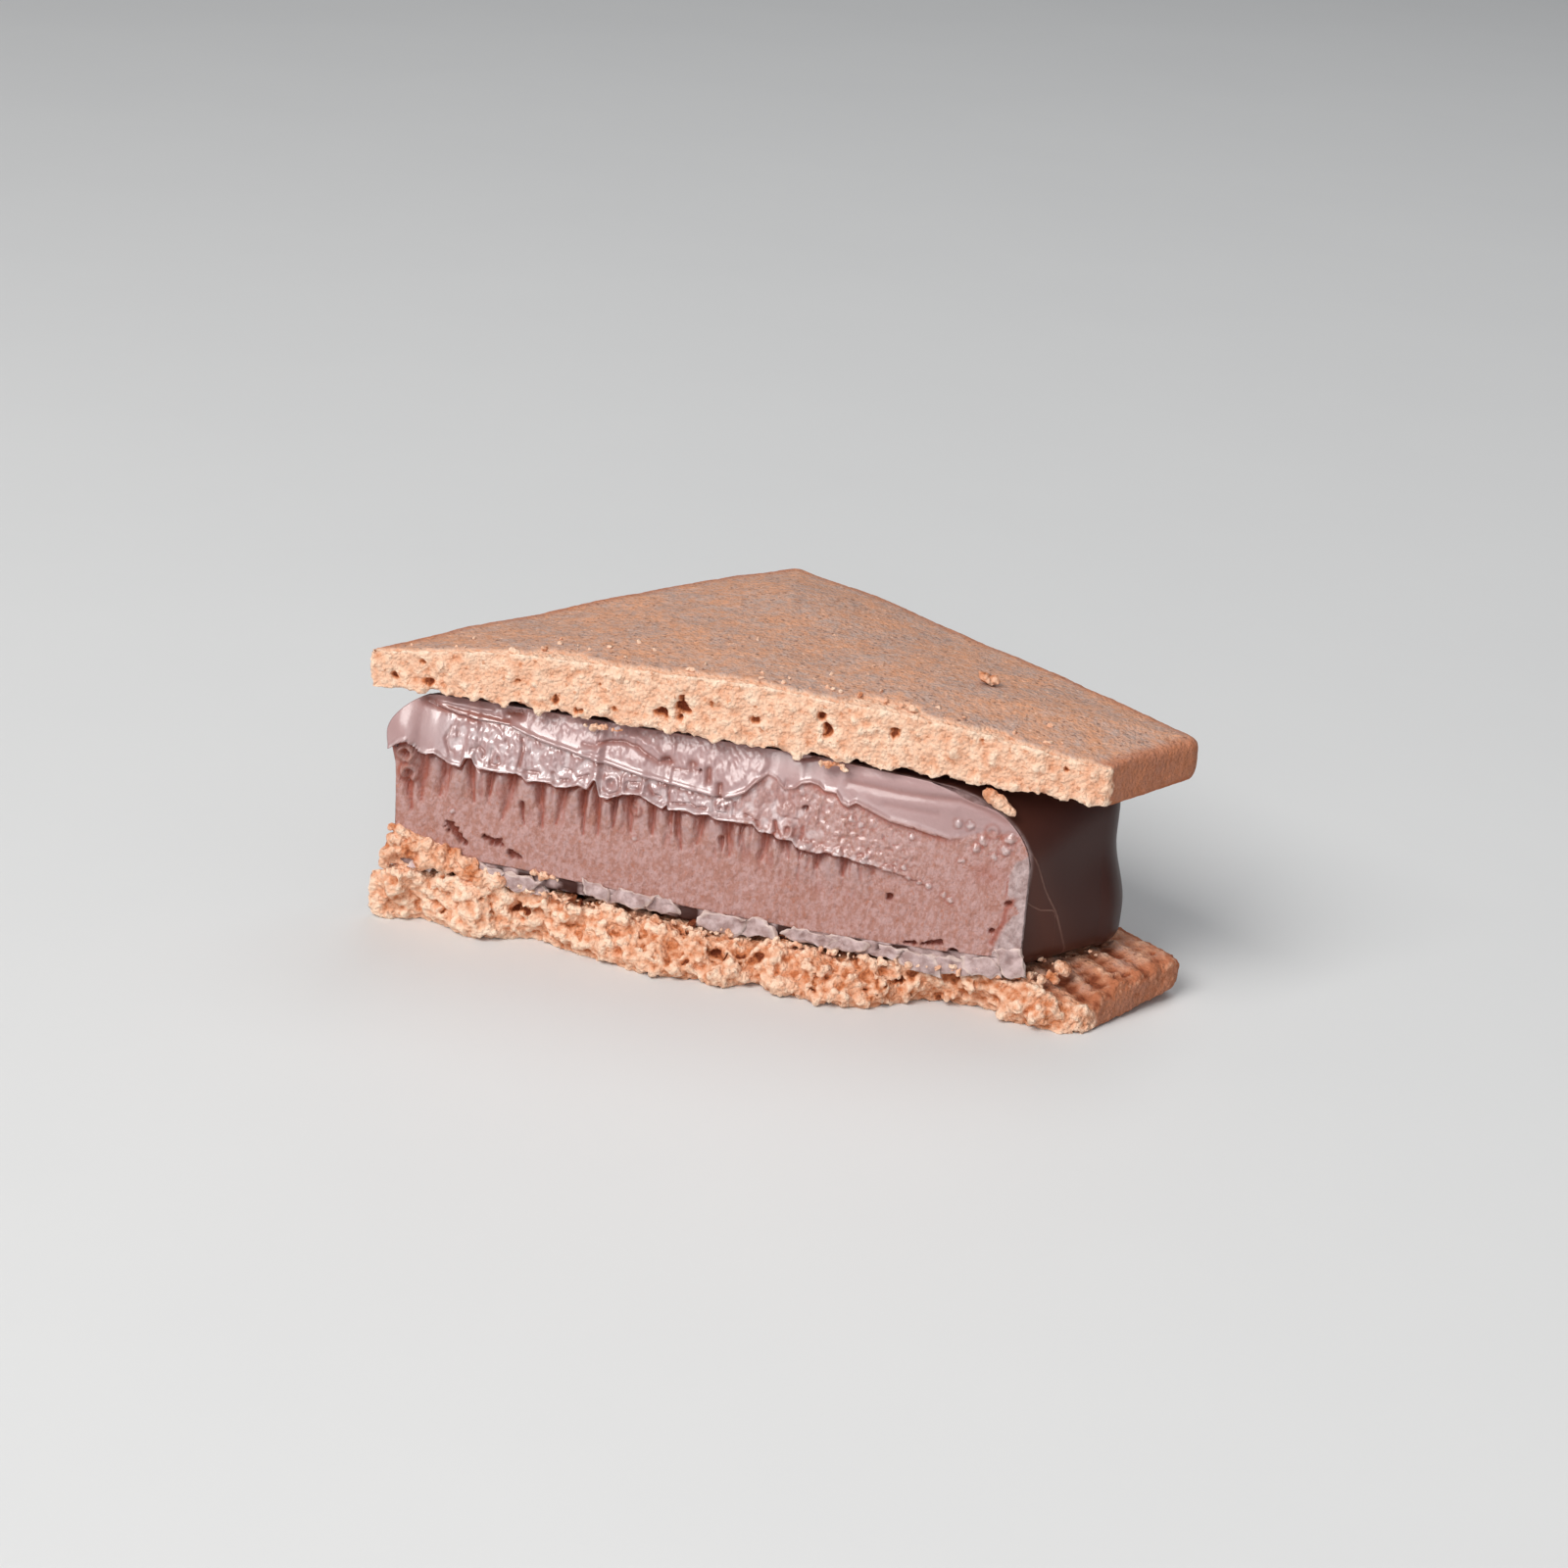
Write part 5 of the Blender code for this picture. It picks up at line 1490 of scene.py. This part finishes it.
def coat_rim_at_right(x, z, flat):
    """Push and darkness where the coat's pale rim shows at the right end, how pale it is, and the rusty vein."""
    beyond = x - line(RIM_EDGE, z) + 0.25 * grain(flat, 0.5, 61)
    lilac = ease(0, 0.15, beyond)
    push = 0.08 * lilac * grain(flat, 0.7, 62) + 0.1 * hump(beyond, 0.1) * ease(15, 13, z)
    vein = hump(beside_line(x, z, RUST_VEIN)[0] + 0.12 * grain(flat, 0.4, 63), 0.26)
    stain = hump(np.hypot((x - 23.4) / 1.5, z - 13.4), 1.0)
    return push, np.maximum(0.75 * vein, 0.35 * stain), lilac, vein


# %% The cut face as one relief
def knife_face(x, z):
    """Everything the knife did to the cut face, at places along the cut and heights in millimetres."""
    flat = np.stack([x, 0 * x, z], 1)
    lumpy = grain(flat, 0.35, 64)
    lip, fold = line(LIP, x), line(FOLD, x)
    below, above, over = lip - z, z - lip, z - fold
    torn = ease(16, 11, x)
    grooves, ribs = knife_grooves(x, z, lip)
    layers, layers_dark = smear_layers(x, z, lip, fold)
    marks, marks_dark = drawn_marks(x, z, lumpy)
    curls, curls_dark = rolled_curls(x, z)
    beads, beads_dark, beads_wet, bead_highlights = melted_beads(x, z, lumpy)
    folds, folds_wet, glints = wrinkles(x, z, flat, above, over)
    body, body_dark = combed_body(x, flat, below)
    rim, rim_dark, lilac, vein = coat_rim_at_right(x, z, flat)
    pit = air_holes(x, z, flat)
    smear, shiny = smear_paint(x, above, over)

    drag = torn * (0.8 * grooves - 0.36 * ribs) * (below > -0.1)
    drag_dark = torn * grooves * ease(-0.1, 0.05, below)
    # Painted highlights along the lip's rolled rim, and on the ribs in the smear's colour.
    lip_highlight = hump(above - 0.2, np.where(x > 4, 0.22, 0.14)) * ease(-0.2, 0.2, lumpy) * ease(17, 12, x)
    rib_highlights = torn * ribs * ease(-0.1, 0.3, grain(flat, 0.8, 65))
    # Mostly painted shade, in grooves, creases, curls, round beads and under curtains; the vein, stain and scratches
    # are real.
    recess = np.maximum.reduce([layers_dark, drag_dark, marks_dark, curls_dark, beads_dark, body_dark, rim_dark])
    wet = np.maximum.reduce([beads_wet, shiny, 0.9 * ribs * torn, folds_wet])
    return {"push": layers + drag + marks + curls + beads + folds + body + rim + 0.5 * pit,
            "smear": np.maximum(smear * (1 - lilac), 0.6 * rib_highlights), "wet": np.clip(wet, 0, 1),
            "recess": np.clip(recess, 0, 1), "pit": pit, "lilac": lilac * (1 - vein),
            "painted_highlight": np.maximum.reduce([0.4 * bead_highlights, 0.7 * lip_highlight, glints])}


# %% [markdown]
# ## The ganache
#
# Rows of the front sheet are first slid up or down so that one row lies exactly on the lip and another on the fold.
# Edges in the relief then follow the mesh and come out clean instead of stepped. The sheet also laps over the coat's
# rim at the top and at both ends, where the knife smeared it, and leaves only a thin edge of coat. The rows right
# behind the sheet move back, so that they never come through it.

# %% Ganache
GANACHE_COLUMNS, GANACHE_LEVELS, FRONT_CUTS = 106, 30, 4
GANACHE_SIDE_STEPS, GANACHE_ARC_STEPS = 12, 4
LIP_ROW, FOLD_ROW = 0.52, 0.78
EDGE_LEFT_FREE = 0.05 * MM
BEHIND_SHEET = 0.9 * MM


def ganache_slab(shrink):
    shape = bmesh.new()
    faces = loft_filling(shape, shrink, 0, GANACHE_COLUMNS, GANACHE_SIDE_STEPS, GANACHE_ARC_STEPS, GANACHE_LEVELS,
                         closed=True)
    edges = list({edge for face in faces for edge in face.edges})
    bmesh.ops.subdivide_edges(shape, edges=edges, cuts=FRONT_CUTS, use_grid_fill=True)
    bmesh.ops.recalc_face_normals(shape, faces=shape.faces)
    return shaped_object("ganache_slab", shape)


def slide_rows(points, up):
    """Slides the rows of the front sheet so that they lie along the lip and the fold."""
    x = points[:, 0] / MM
    low = (bed_height(points[:, 0], points[:, 1]) + GAP + COAT) / MM
    high = (TOP_UNDERSIDE - LEAN_RIGHT * points[:, 0] - GAP - COAT) / MM
    lip = np.minimum(line(LIP, x), high - 1.0)
    fold = np.clip(line(FOLD, x), lip + 0.6, high - 0.3)
    lower = low + (lip - low) * up / LIP_ROW
    middle = lip + (fold - lip) * (up - LIP_ROW) / (FOLD_ROW - LIP_ROW)
    upper = fold + (high - fold) * (up - FOLD_ROW) / (1 - FOLD_ROW)
    return np.where(up < LIP_ROW, lower, np.where(up < FOLD_ROW, middle, upper)) * MM


def lap_over_rim(points, front, up, shrink):
    """How far each point of the front sheet moves sideways and up to lap over the coat's rim."""
    left, right = side_places(points[:, 2], shrink)
    part = np.clip((points[:, 0] - left) / (right - left), 0, 1)
    height = EDGE_LEFT_FREE + up * (FILLING_HEIGHT - 2 * EDGE_LEFT_FREE)
    left_out, right_out = side_places(height, EDGE_LEFT_FREE)
    bulge = (0.75 * hump(points[:, 2] - 12.6 * MM, 2.0 * MM) + 0.1) * MM * ease(0.05, 0, part)
    sideways = left_out + part * (right_out - left_out) - points[:, 0] - bulge
    beside = np.maximum(ease(0.05, 0, part), ease(0.93, 1, part)) * ease(0.03, 0.12, up)
    near = front * np.maximum(beside, ease(0.8, 1, up))
    return part, near * sideways, near * (height - points[:, 2])


def make_ganache():
    shrink = COAT + 0.05 * MM
    piece = ganache_slab(shrink)
    points = points_of(piece)
    front = points[:, 1] < AT_THE_CUT
    heights = level_heights(shrink, GANACHE_LEVELS)
    level = np.interp(points[:, 2], heights, np.linspace(0, 1, len(heights)))
    up = (points[:, 2] - heights[0]) / (heights[-1] - heights[0])
    part, sideways, upward = lap_over_rim(points, front, up, shrink)
    points = settle(points)
    inner = front * ease(0, 0.03, part) * ease(25 * MM, 20 * MM, points[:, 0])
    points[:, 2] += inner * (slide_rows(points, up + (level - up) * inner) - points[:, 2]) + upward
    points[:, 0] += sideways
    face = knife_face(points[front, 0] / MM, points[front, 2] / MM)
    points = roll_back(points)
    points[front, 1] += face.pop("push") * ease(1, 0.985, part[front]) * MM
    points[~front, 1] += BEHIND_SHEET * np.clip(1 - points[~front, 1] / RIM_DEPTH, 0, 1) ** 2
    move_points(piece, points)
    dips = hollowness(piece, 10)[front]
    # Painted shade in every dip of the finished sheet.
    face["recess"] = np.maximum(face["recess"], (0.75 - 0.35 * face["smear"]) * ease(0.01 * MM, 0.1 * MM, dips))
    for name, values in face.items():
        everywhere = np.zeros(len(points))
        everywhere[front] = values
        paint(piece, name, everywhere)
    dress(piece, GANACHE)
    hand_over(piece, "ganache", "ganache")


make_ganache()

# %% [markdown]
# ## Loose crumbs and broken plates, by Geometry Nodes
#
# Crumbs cling where the layers meet, and the coat's foot broke into thin plates against the lower biscuit. Both are
# many copies of one plain form, so one tree serves for both. Each point of a cloud carries its own `size` and
# `turn`. The tree sets the form on every point, makes the copies real, and pushes them out of true with a noise in
# space, so that no two are alike. Crumbs that touch are then melted together by a fine voxel remesh.

# %% Scatter tree
def build_scatter():
    sockets = [("Geometry", "NodeSocketGeometry", None), ("Form", "NodeSocketObject", None),
               ("Rough Size", "NodeSocketFloat", 0.4 * MM), ("Rough Depth", "NodeSocketFloat", 0.2 * MM),
               ("Material", "NodeSocketMaterial", None)]
    tree, start, end = new_tree("Scattered bits", "GeometryNodeTree", sockets, [("Geometry", "NodeSocketGeometry")])
    given = start.outputs
    form = add(tree, "GeometryNodeObjectInfo", {"Object": given["Form"]}).outputs["Geometry"]
    size = add(tree, "GeometryNodeInputNamedAttribute", {"Name": "size"}, data_type="FLOAT_VECTOR").outputs[0]
    turn = add(tree, "GeometryNodeInputNamedAttribute", {"Name": "turn"}, data_type="FLOAT_VECTOR").outputs[0]
    placed = add(tree, "GeometryNodeInstanceOnPoints", {"Points": given["Geometry"], "Instance": form,
                                                        "Rotation": turn, "Scale": size})
    real = add(tree, "GeometryNodeRealizeInstances", {"Geometry": placed.outputs[0]})
    cloud = add(tree, "ShaderNodeTexNoise", {"Scale": calc(tree, "DIVIDE", 1.0, given["Rough Size"]), "Detail": 2.0})
    centred = add(tree, "ShaderNodeVectorMath", {0: cloud.outputs["Color"], 1: (0.5, 0.5, 0.5)}, operation="SUBTRACT")
    shift = add(tree, "ShaderNodeVectorMath", {0: centred.outputs[0], "Scale": given["Rough Depth"]},
                operation="SCALE").outputs[0]
    moved = add(tree, "GeometryNodeSetPosition", {"Geometry": real.outputs[0], "Offset": shift})
    end_tree(tree, moved.outputs[0], given["Material"], end)
    return tree


SCATTER = build_scatter()
say_inputs(SCATTER)


def scatter(name, form, bits, rough_size, rough_depth, material):
    """One piece from many copies of form, at bits of (place, size, turn)."""
    cloud = bpy.data.meshes.new(name)
    cloud.from_pydata([place for place, _, _ in bits], [], [])
    for label, which in (("size", 1), ("turn", 2)):
        layer = cloud.attributes.new(label, "FLOAT_VECTOR", "POINT")
        layer.data.foreach_set("vector", np.array([bit[which] for bit in bits], np.float32).ravel())
    piece = mesh_object(name, cloud)
    run_tree(piece, SCATTER, form=form, rough_size=rough_size, rough_depth=rough_depth, material=material)
    bpy.data.objects.remove(form)
    return piece


# %% Crumbs
# Runs of crumbs: (from, to, how many, smallest and largest half size, spread across the run), in millimetres.
CRUMB_RUNS = (((-30.6, 0.1, 9.3), (-26.5, -0.1, 7.8), 30, 0.25, 0.6, 0.35),
              ((-30.7, 0.1, 8.2), (-23.0, -0.2, 6.8), 70, 0.3, 0.75, 0.4),
              ((-30.8, 0.1, 7.0), (-20.0, -0.5, 5.7), 80, 0.3, 0.8, 0.45),
              ((-30.3, 0.4, 8.4), (-31.6, 0.3, 5.2), 24, 0.3, 0.6, 0.25),
              ((-31.4, 0.5, 5.9), (-27.5, 0.2, 5.7), 24, 0.3, 0.6, 0.25),
              ((-17.4, -0.1, 6.9), (-15.0, -0.2, 6.6), 9, 0.15, 0.35, 0.2),
              ((-20.0, -0.5, 5.5), (-3.0, -0.8, 4.3), 46, 0.12, 0.4, 0.3),
              ((-3.0, -0.8, 4.2), (18.0, -0.6, 3.9), 52, 0.12, 0.4, 0.3),
              ((18.0, -0.4, 4.0), (27.5, -0.2, 4.3), 26, 0.12, 0.35, 0.3),
              ((-13.2, 0.2, 21.7), (-9.8, 0.2, 21.6), 12, 0.15, 0.42, 0.25),
              ((7.8, 0.2, 21.3), (10.2, 0.2, 21.2), 9, 0.15, 0.4, 0.25),
              ((28.0, 3.0, 4.2), (33.0, 7.0, 4.2), 9, 0.12, 0.3, 1.2),
              ((26.5, 0.8, 4.3), (31.0, 1.0, 4.2), 16, 0.15, 0.55, 0.6))
CRUMBS_ON_TOP = 60
# Single crumbs: (place, half size) in millimetres. The first three are the flake on the shoulder of the filling.
SINGLE_CRUMBS = (((23.1, 0.1, 20.65), (0.85, 0.45, 0.65)), ((23.9, 0.1, 20.2), (0.8, 0.45, 0.7)),
                 ((24.7, 0.1, 19.65), (0.8, 0.4, 0.5)), ((20.3, 11.0, 27.2), (0.95, 0.7, 0.35)),
                 ((21.0, 11.2, 27.15), (0.5, 0.5, 0.3)), ((30.6, 2.4, 4.5), (0.9, 0.8, 0.6)),
                 ((-20.0, 0.7, 27.3), (0.6, 0.4, 0.3)), ((15.5, 0.9, 27.3), (0.5, 0.4, 0.25)),
                 ((33.2, 0.4, 0.7), (1.0, 0.6, 0.5)))
SINGLE_SLOPE = 0.5
CRUMB_VOXEL = 0.1 * MM
CRUMB_FLOOR = 0.02 * MM


def crumb_form():
    ball = bmesh.new()
    bmesh.ops.create_icosphere(ball, subdivisions=3, radius=1.0)
    return shaped_object("crumb_form", ball)


def crumb_places():
    draw = np.random.default_rng(7)
    bits = []
    for start, stop, count, smallest, largest, spread in CRUMB_RUNS:
        for share in (np.arange(count) + draw.uniform(0, 1, count)) / count:
            middle = np.array(start) + share * (np.array(stop) - np.array(start))
            place = middle + spread * draw.normal(0, (0.5, 0.45, 0.45))
            half = smallest + (largest - smallest) * draw.uniform() ** 2
            bits.append((place * MM, half * draw.uniform(0.65, 1.25, 3) * MM, draw.uniform(0, 6.28, 3)))
    for place, size in SINGLE_CRUMBS:
        bits.append((np.array(place) * MM, np.array(size) * MM, np.array((0, SINGLE_SLOPE, 0))))
    for _ in range(CRUMBS_ON_TOP):
        place = np.array([[draw.uniform(-32, 32), 0.6 + draw.exponential(1.8), 0]]) * MM
        place[0, 2] = top_height(place)[0] + 0.05 * MM
        bits.append((place[0], draw.uniform(0.08, 0.24) * draw.uniform(0.7, 1.3, 3) * MM, draw.uniform(0, 6.28, 3)))
    return bits


def make_crumbs():
    piece = scatter("loose_crumbs", crumb_form(), crumb_places(), 0.4 * MM, 0.6 * MM, BISCUIT)
    even_mesh(piece, CRUMB_VOXEL)
    points = stay_above(piece, CRUMB_FLOOR)
    # Painted shade in the hollows where crumbs melted together, over a random tone.
    relief_shade = 0.46 + 0.45 * grain(points, 1.5 * MM, 71) + 0.7 * np.clip(hollowness(piece, 12) / (0.3 * MM), -0.4, 1)
    paint(piece, "crumb", np.ones(len(points)))
    paint(piece, "relief_shade", np.clip(relief_shade, 0, 1))
    dress(piece, BISCUIT)
    hand_over(piece, "biscuit")


make_crumbs()

# %% [markdown]
# ## Plates of broken coat
#
# Each plate is a thin tile whose border is painted as `edge`: a pale painted highlight along its edges.
# They lean against the foot of the filling, each at its own tilt, with dark gaps between.

# %% Plates
PLATE_THICKNESS = 0.4 * MM
PLATE_FORWARD, PLATE_RAISED, PLATE_HALF_LENGTH, PLATE_HALF_HEIGHT = 0.6, 0.15, 0.62, 0.57
# (place along the cut, height, how far forward, length, height of the plate, slope in degrees), in millimetres.
PLATES = ((-27.6, 6.0, 0.35, 1.8, 1.0, 8), (-21.6, 5.9, 0.45, 2.6, 1.3, 6), (-18.6, 5.6, 0.5, 3.0, 1.3, 4),
          (-16.9, 5.1, 0.3, 1.6, 0.9, -8), (-11.3, 6.0, 0.3, 1.9, 1.2, 10), (-8.2, 5.7, 0.4, 3.0, 1.2, 4),
          (-5.4, 5.6, 0.3, 2.4, 1.1, -3), (0.4, 4.9, 0.55, 3.4, 1.5, 5), (3.3, 4.9, 0.45, 3.0, 1.3, -4),
          (8.2, 4.7, 0.3, 3.4, 1.0, 7), (11.4, 4.6, 0.4, 3.2, 1.1, 3), (14.6, 4.4, 0.3, 3.0, 1.0, -2),
          (18.0, 4.1, 0.45, 3.2, 1.4, 3), (21.0, 4.2, 0.4, 2.6, 1.3, -4), (23.7, 4.5, 0.3, 2.6, 1.3, 2),
          (26.2, 5.4, 0.2, 1.9, 2.2, -8))


def plate_form():
    """A tile of two by one by two, with wavering corners and a painted highlight along its border."""
    tile = bmesh.new()
    bmesh.ops.create_cube(tile, size=2.0)
    bmesh.ops.subdivide_edges(tile, edges=tile.edges, cuts=9, use_grid_fill=True)
    piece = shaped_object("plate_form", tile)
    points = points_of(piece)
    reach = np.maximum(np.abs(points[:, 0]), np.abs(points[:, 2]))
    round_reach = np.hypot(points[:, 0], points[:, 2])
    points[:, (0, 2)] *= (reach / np.maximum(round_reach, 1e-6))[:, None] ** 0.2
    points[:, 0] += 0.3 * points[:, 2]
    points[:, 1] *= 0.8 + 0.2 * (1 - reach**6)
    move_points(piece, points)
    # A painted highlight along the border of each plate.
    paint(piece, "edge", 0.7 * ease(0.8, 1.0, reach))
    return piece


def make_plates():
    draw = np.random.default_rng(11)
    bits = []
    for across, height, forward, length, tall, slope in PLATES:
        turn = (draw.uniform(-0.45, -0.1), math.radians(slope), draw.uniform(-0.2, 0.2))
        way = draw.choice((-1, 1))
        place = (across * MM, -PLATE_FORWARD * forward * MM, (height + PLATE_RAISED) * MM)
        size = (way * PLATE_HALF_LENGTH * length * MM, PLATE_THICKNESS / 2, PLATE_HALF_HEIGHT * tall * MM)
        bits.append((place, size, turn))
    piece = scatter("coat_plates", plate_form(), bits, 1.1 * MM, 1.4 * MM, CHOCOLATE)
    paint(piece, "rim", np.ones(len(piece.data.vertices)))
    hand_over(piece, "chocolate_coat")


make_plates()

# %% [markdown]
# ## Floor, light and camera
#
# A pale floor and soft light from the front left. The camera stands where the cookie's own right angles and edges
# say it stood: a little right of square to the cut, about 26 degrees up, with a short telephoto lens.

# %% Floor
FLOOR_REACH = 2.0


def pale_floor():
    mesh = bpy.data.meshes.new("pale_floor")
    corners = [(side * FLOOR_REACH, end * FLOOR_REACH, 0) for side, end in ((-1, -1), (1, -1), (1, 1), (-1, 1))]
    mesh.from_pydata(corners, [], [(0, 1, 2, 3)])
    floor = mesh_object("pale_floor", mesh)
    made, tree, shader, place = new_material("pale_floor", 0.6)
    soft = group(tree, MOTTLE, vector=place, size=60 * MM, contrast=0.6, first=tone(214, 214, 214),
                 second=tone(222, 222, 221))
    tree.links.new(soft, shader.inputs["Base Color"])
    mesh.materials.append(made)
    print(floor.name, 2 * FLOOR_REACH, "m wide")


pale_floor()


# %% Light
LIT_HEIGHT = 12 * MM
ROOM_TINT = (0.93, 0.96, 1.0, 1)
ROOM_STRENGTH = 0.2
WARM_WHITE = (1.0, 0.985, 0.965)
COOL_WHITE = (0.96, 0.98, 1.0)


def softbox(name, azimuth, elevation, distance, size, power, color):
    """A square lamp that looks at the cookie, azimuth degrees right of the cut's front. Sizes are in metres."""
    lamp = bpy.data.lights.new(name, "AREA")
    lamp.shape = "SQUARE"
    lamp.size = size
    lamp.energy = power
    lamp.color = color
    made = bpy.data.objects.new(name, lamp)
    bpy.context.scene.collection.objects.link(made)
    a, e = math.radians(azimuth), math.radians(elevation)
    outward = Vector((math.sin(a) * math.cos(e), -math.cos(a) * math.cos(e), math.sin(e)))
    made.location = Vector((0, 0, LIT_HEIGHT)) + outward * distance
    made.rotation_euler = (-outward).to_track_quat("-Z", "Y").to_euler()
    print(name, power, "W")


def soft_room():
    world = bpy.data.worlds.new("soft_room")
    world.use_nodes = True
    background = world.node_tree.nodes["Background"]
    background.inputs["Color"].default_value = ROOM_TINT
    background.inputs["Strength"].default_value = ROOM_STRENGTH
    bpy.context.scene.world = world


softbox("key", azimuth=-28, elevation=46, distance=0.9, size=0.5, power=7.2, color=WARM_WHITE)
softbox("front_fill", azimuth=5, elevation=22, distance=1.1, size=0.7, power=2.6, color=COOL_WHITE)
softbox("back_top", azimuth=160, elevation=62, distance=1.0, size=0.6, power=2.4, color=COOL_WHITE)
soft_room()
bpy.context.scene.view_settings.view_transform = "Standard"

# %% Camera
CAMERA_AZIMUTH, CAMERA_ELEVATION, CAMERA_ROLL = 12.19, 25.77, 3.76
CAMERA_DISTANCE = 281.34 * MM
LENS, SENSOR, PICTURE = 72.0, 36.0, 1600
AIM_COLUMN, AIM_ROW = 742.9, 995.4


def stand_camera():
    """A camera that sees the middle of the cut line at (AIM_COLUMN, AIM_ROW) of the 1600-pixel picture."""
    focal = LENS / SENSOR * PICTURE
    a, e = math.radians(CAMERA_AZIMUTH), math.radians(CAMERA_ELEVATION)
    back = Vector((math.sin(a) * math.cos(e), -math.cos(a) * math.cos(e), math.sin(e)))
    right = Vector((math.cos(a), math.sin(a), 0))
    base = Matrix((right, back.cross(right), back)).transposed()
    turn = math.atan((AIM_COLUMN - PICTURE / 2) / focal)
    tip = math.atan((AIM_ROW - PICTURE / 2) / focal)
    aimed = base @ Matrix.Rotation(turn, 3, "Y") @ Matrix.Rotation(tip, 3, "X")
    rolled = aimed @ Matrix.Rotation(math.radians(CAMERA_ROLL), 3, "Z")
    data = bpy.data.cameras.new("camera")
    data.lens, data.sensor_width = LENS, SENSOR
    data.clip_start, data.clip_end = 0.01, 10
    made = bpy.data.objects.new("camera", data)
    bpy.context.scene.collection.objects.link(made)
    made.matrix_world = Matrix.Translation(CUT_MIDDLE + back * CAMERA_DISTANCE) @ rolled.to_4x4()
    bpy.context.scene.camera = made
    print("camera", round(CAMERA_DISTANCE / MM), "mm away, lens", LENS, "mm")


stand_camera()
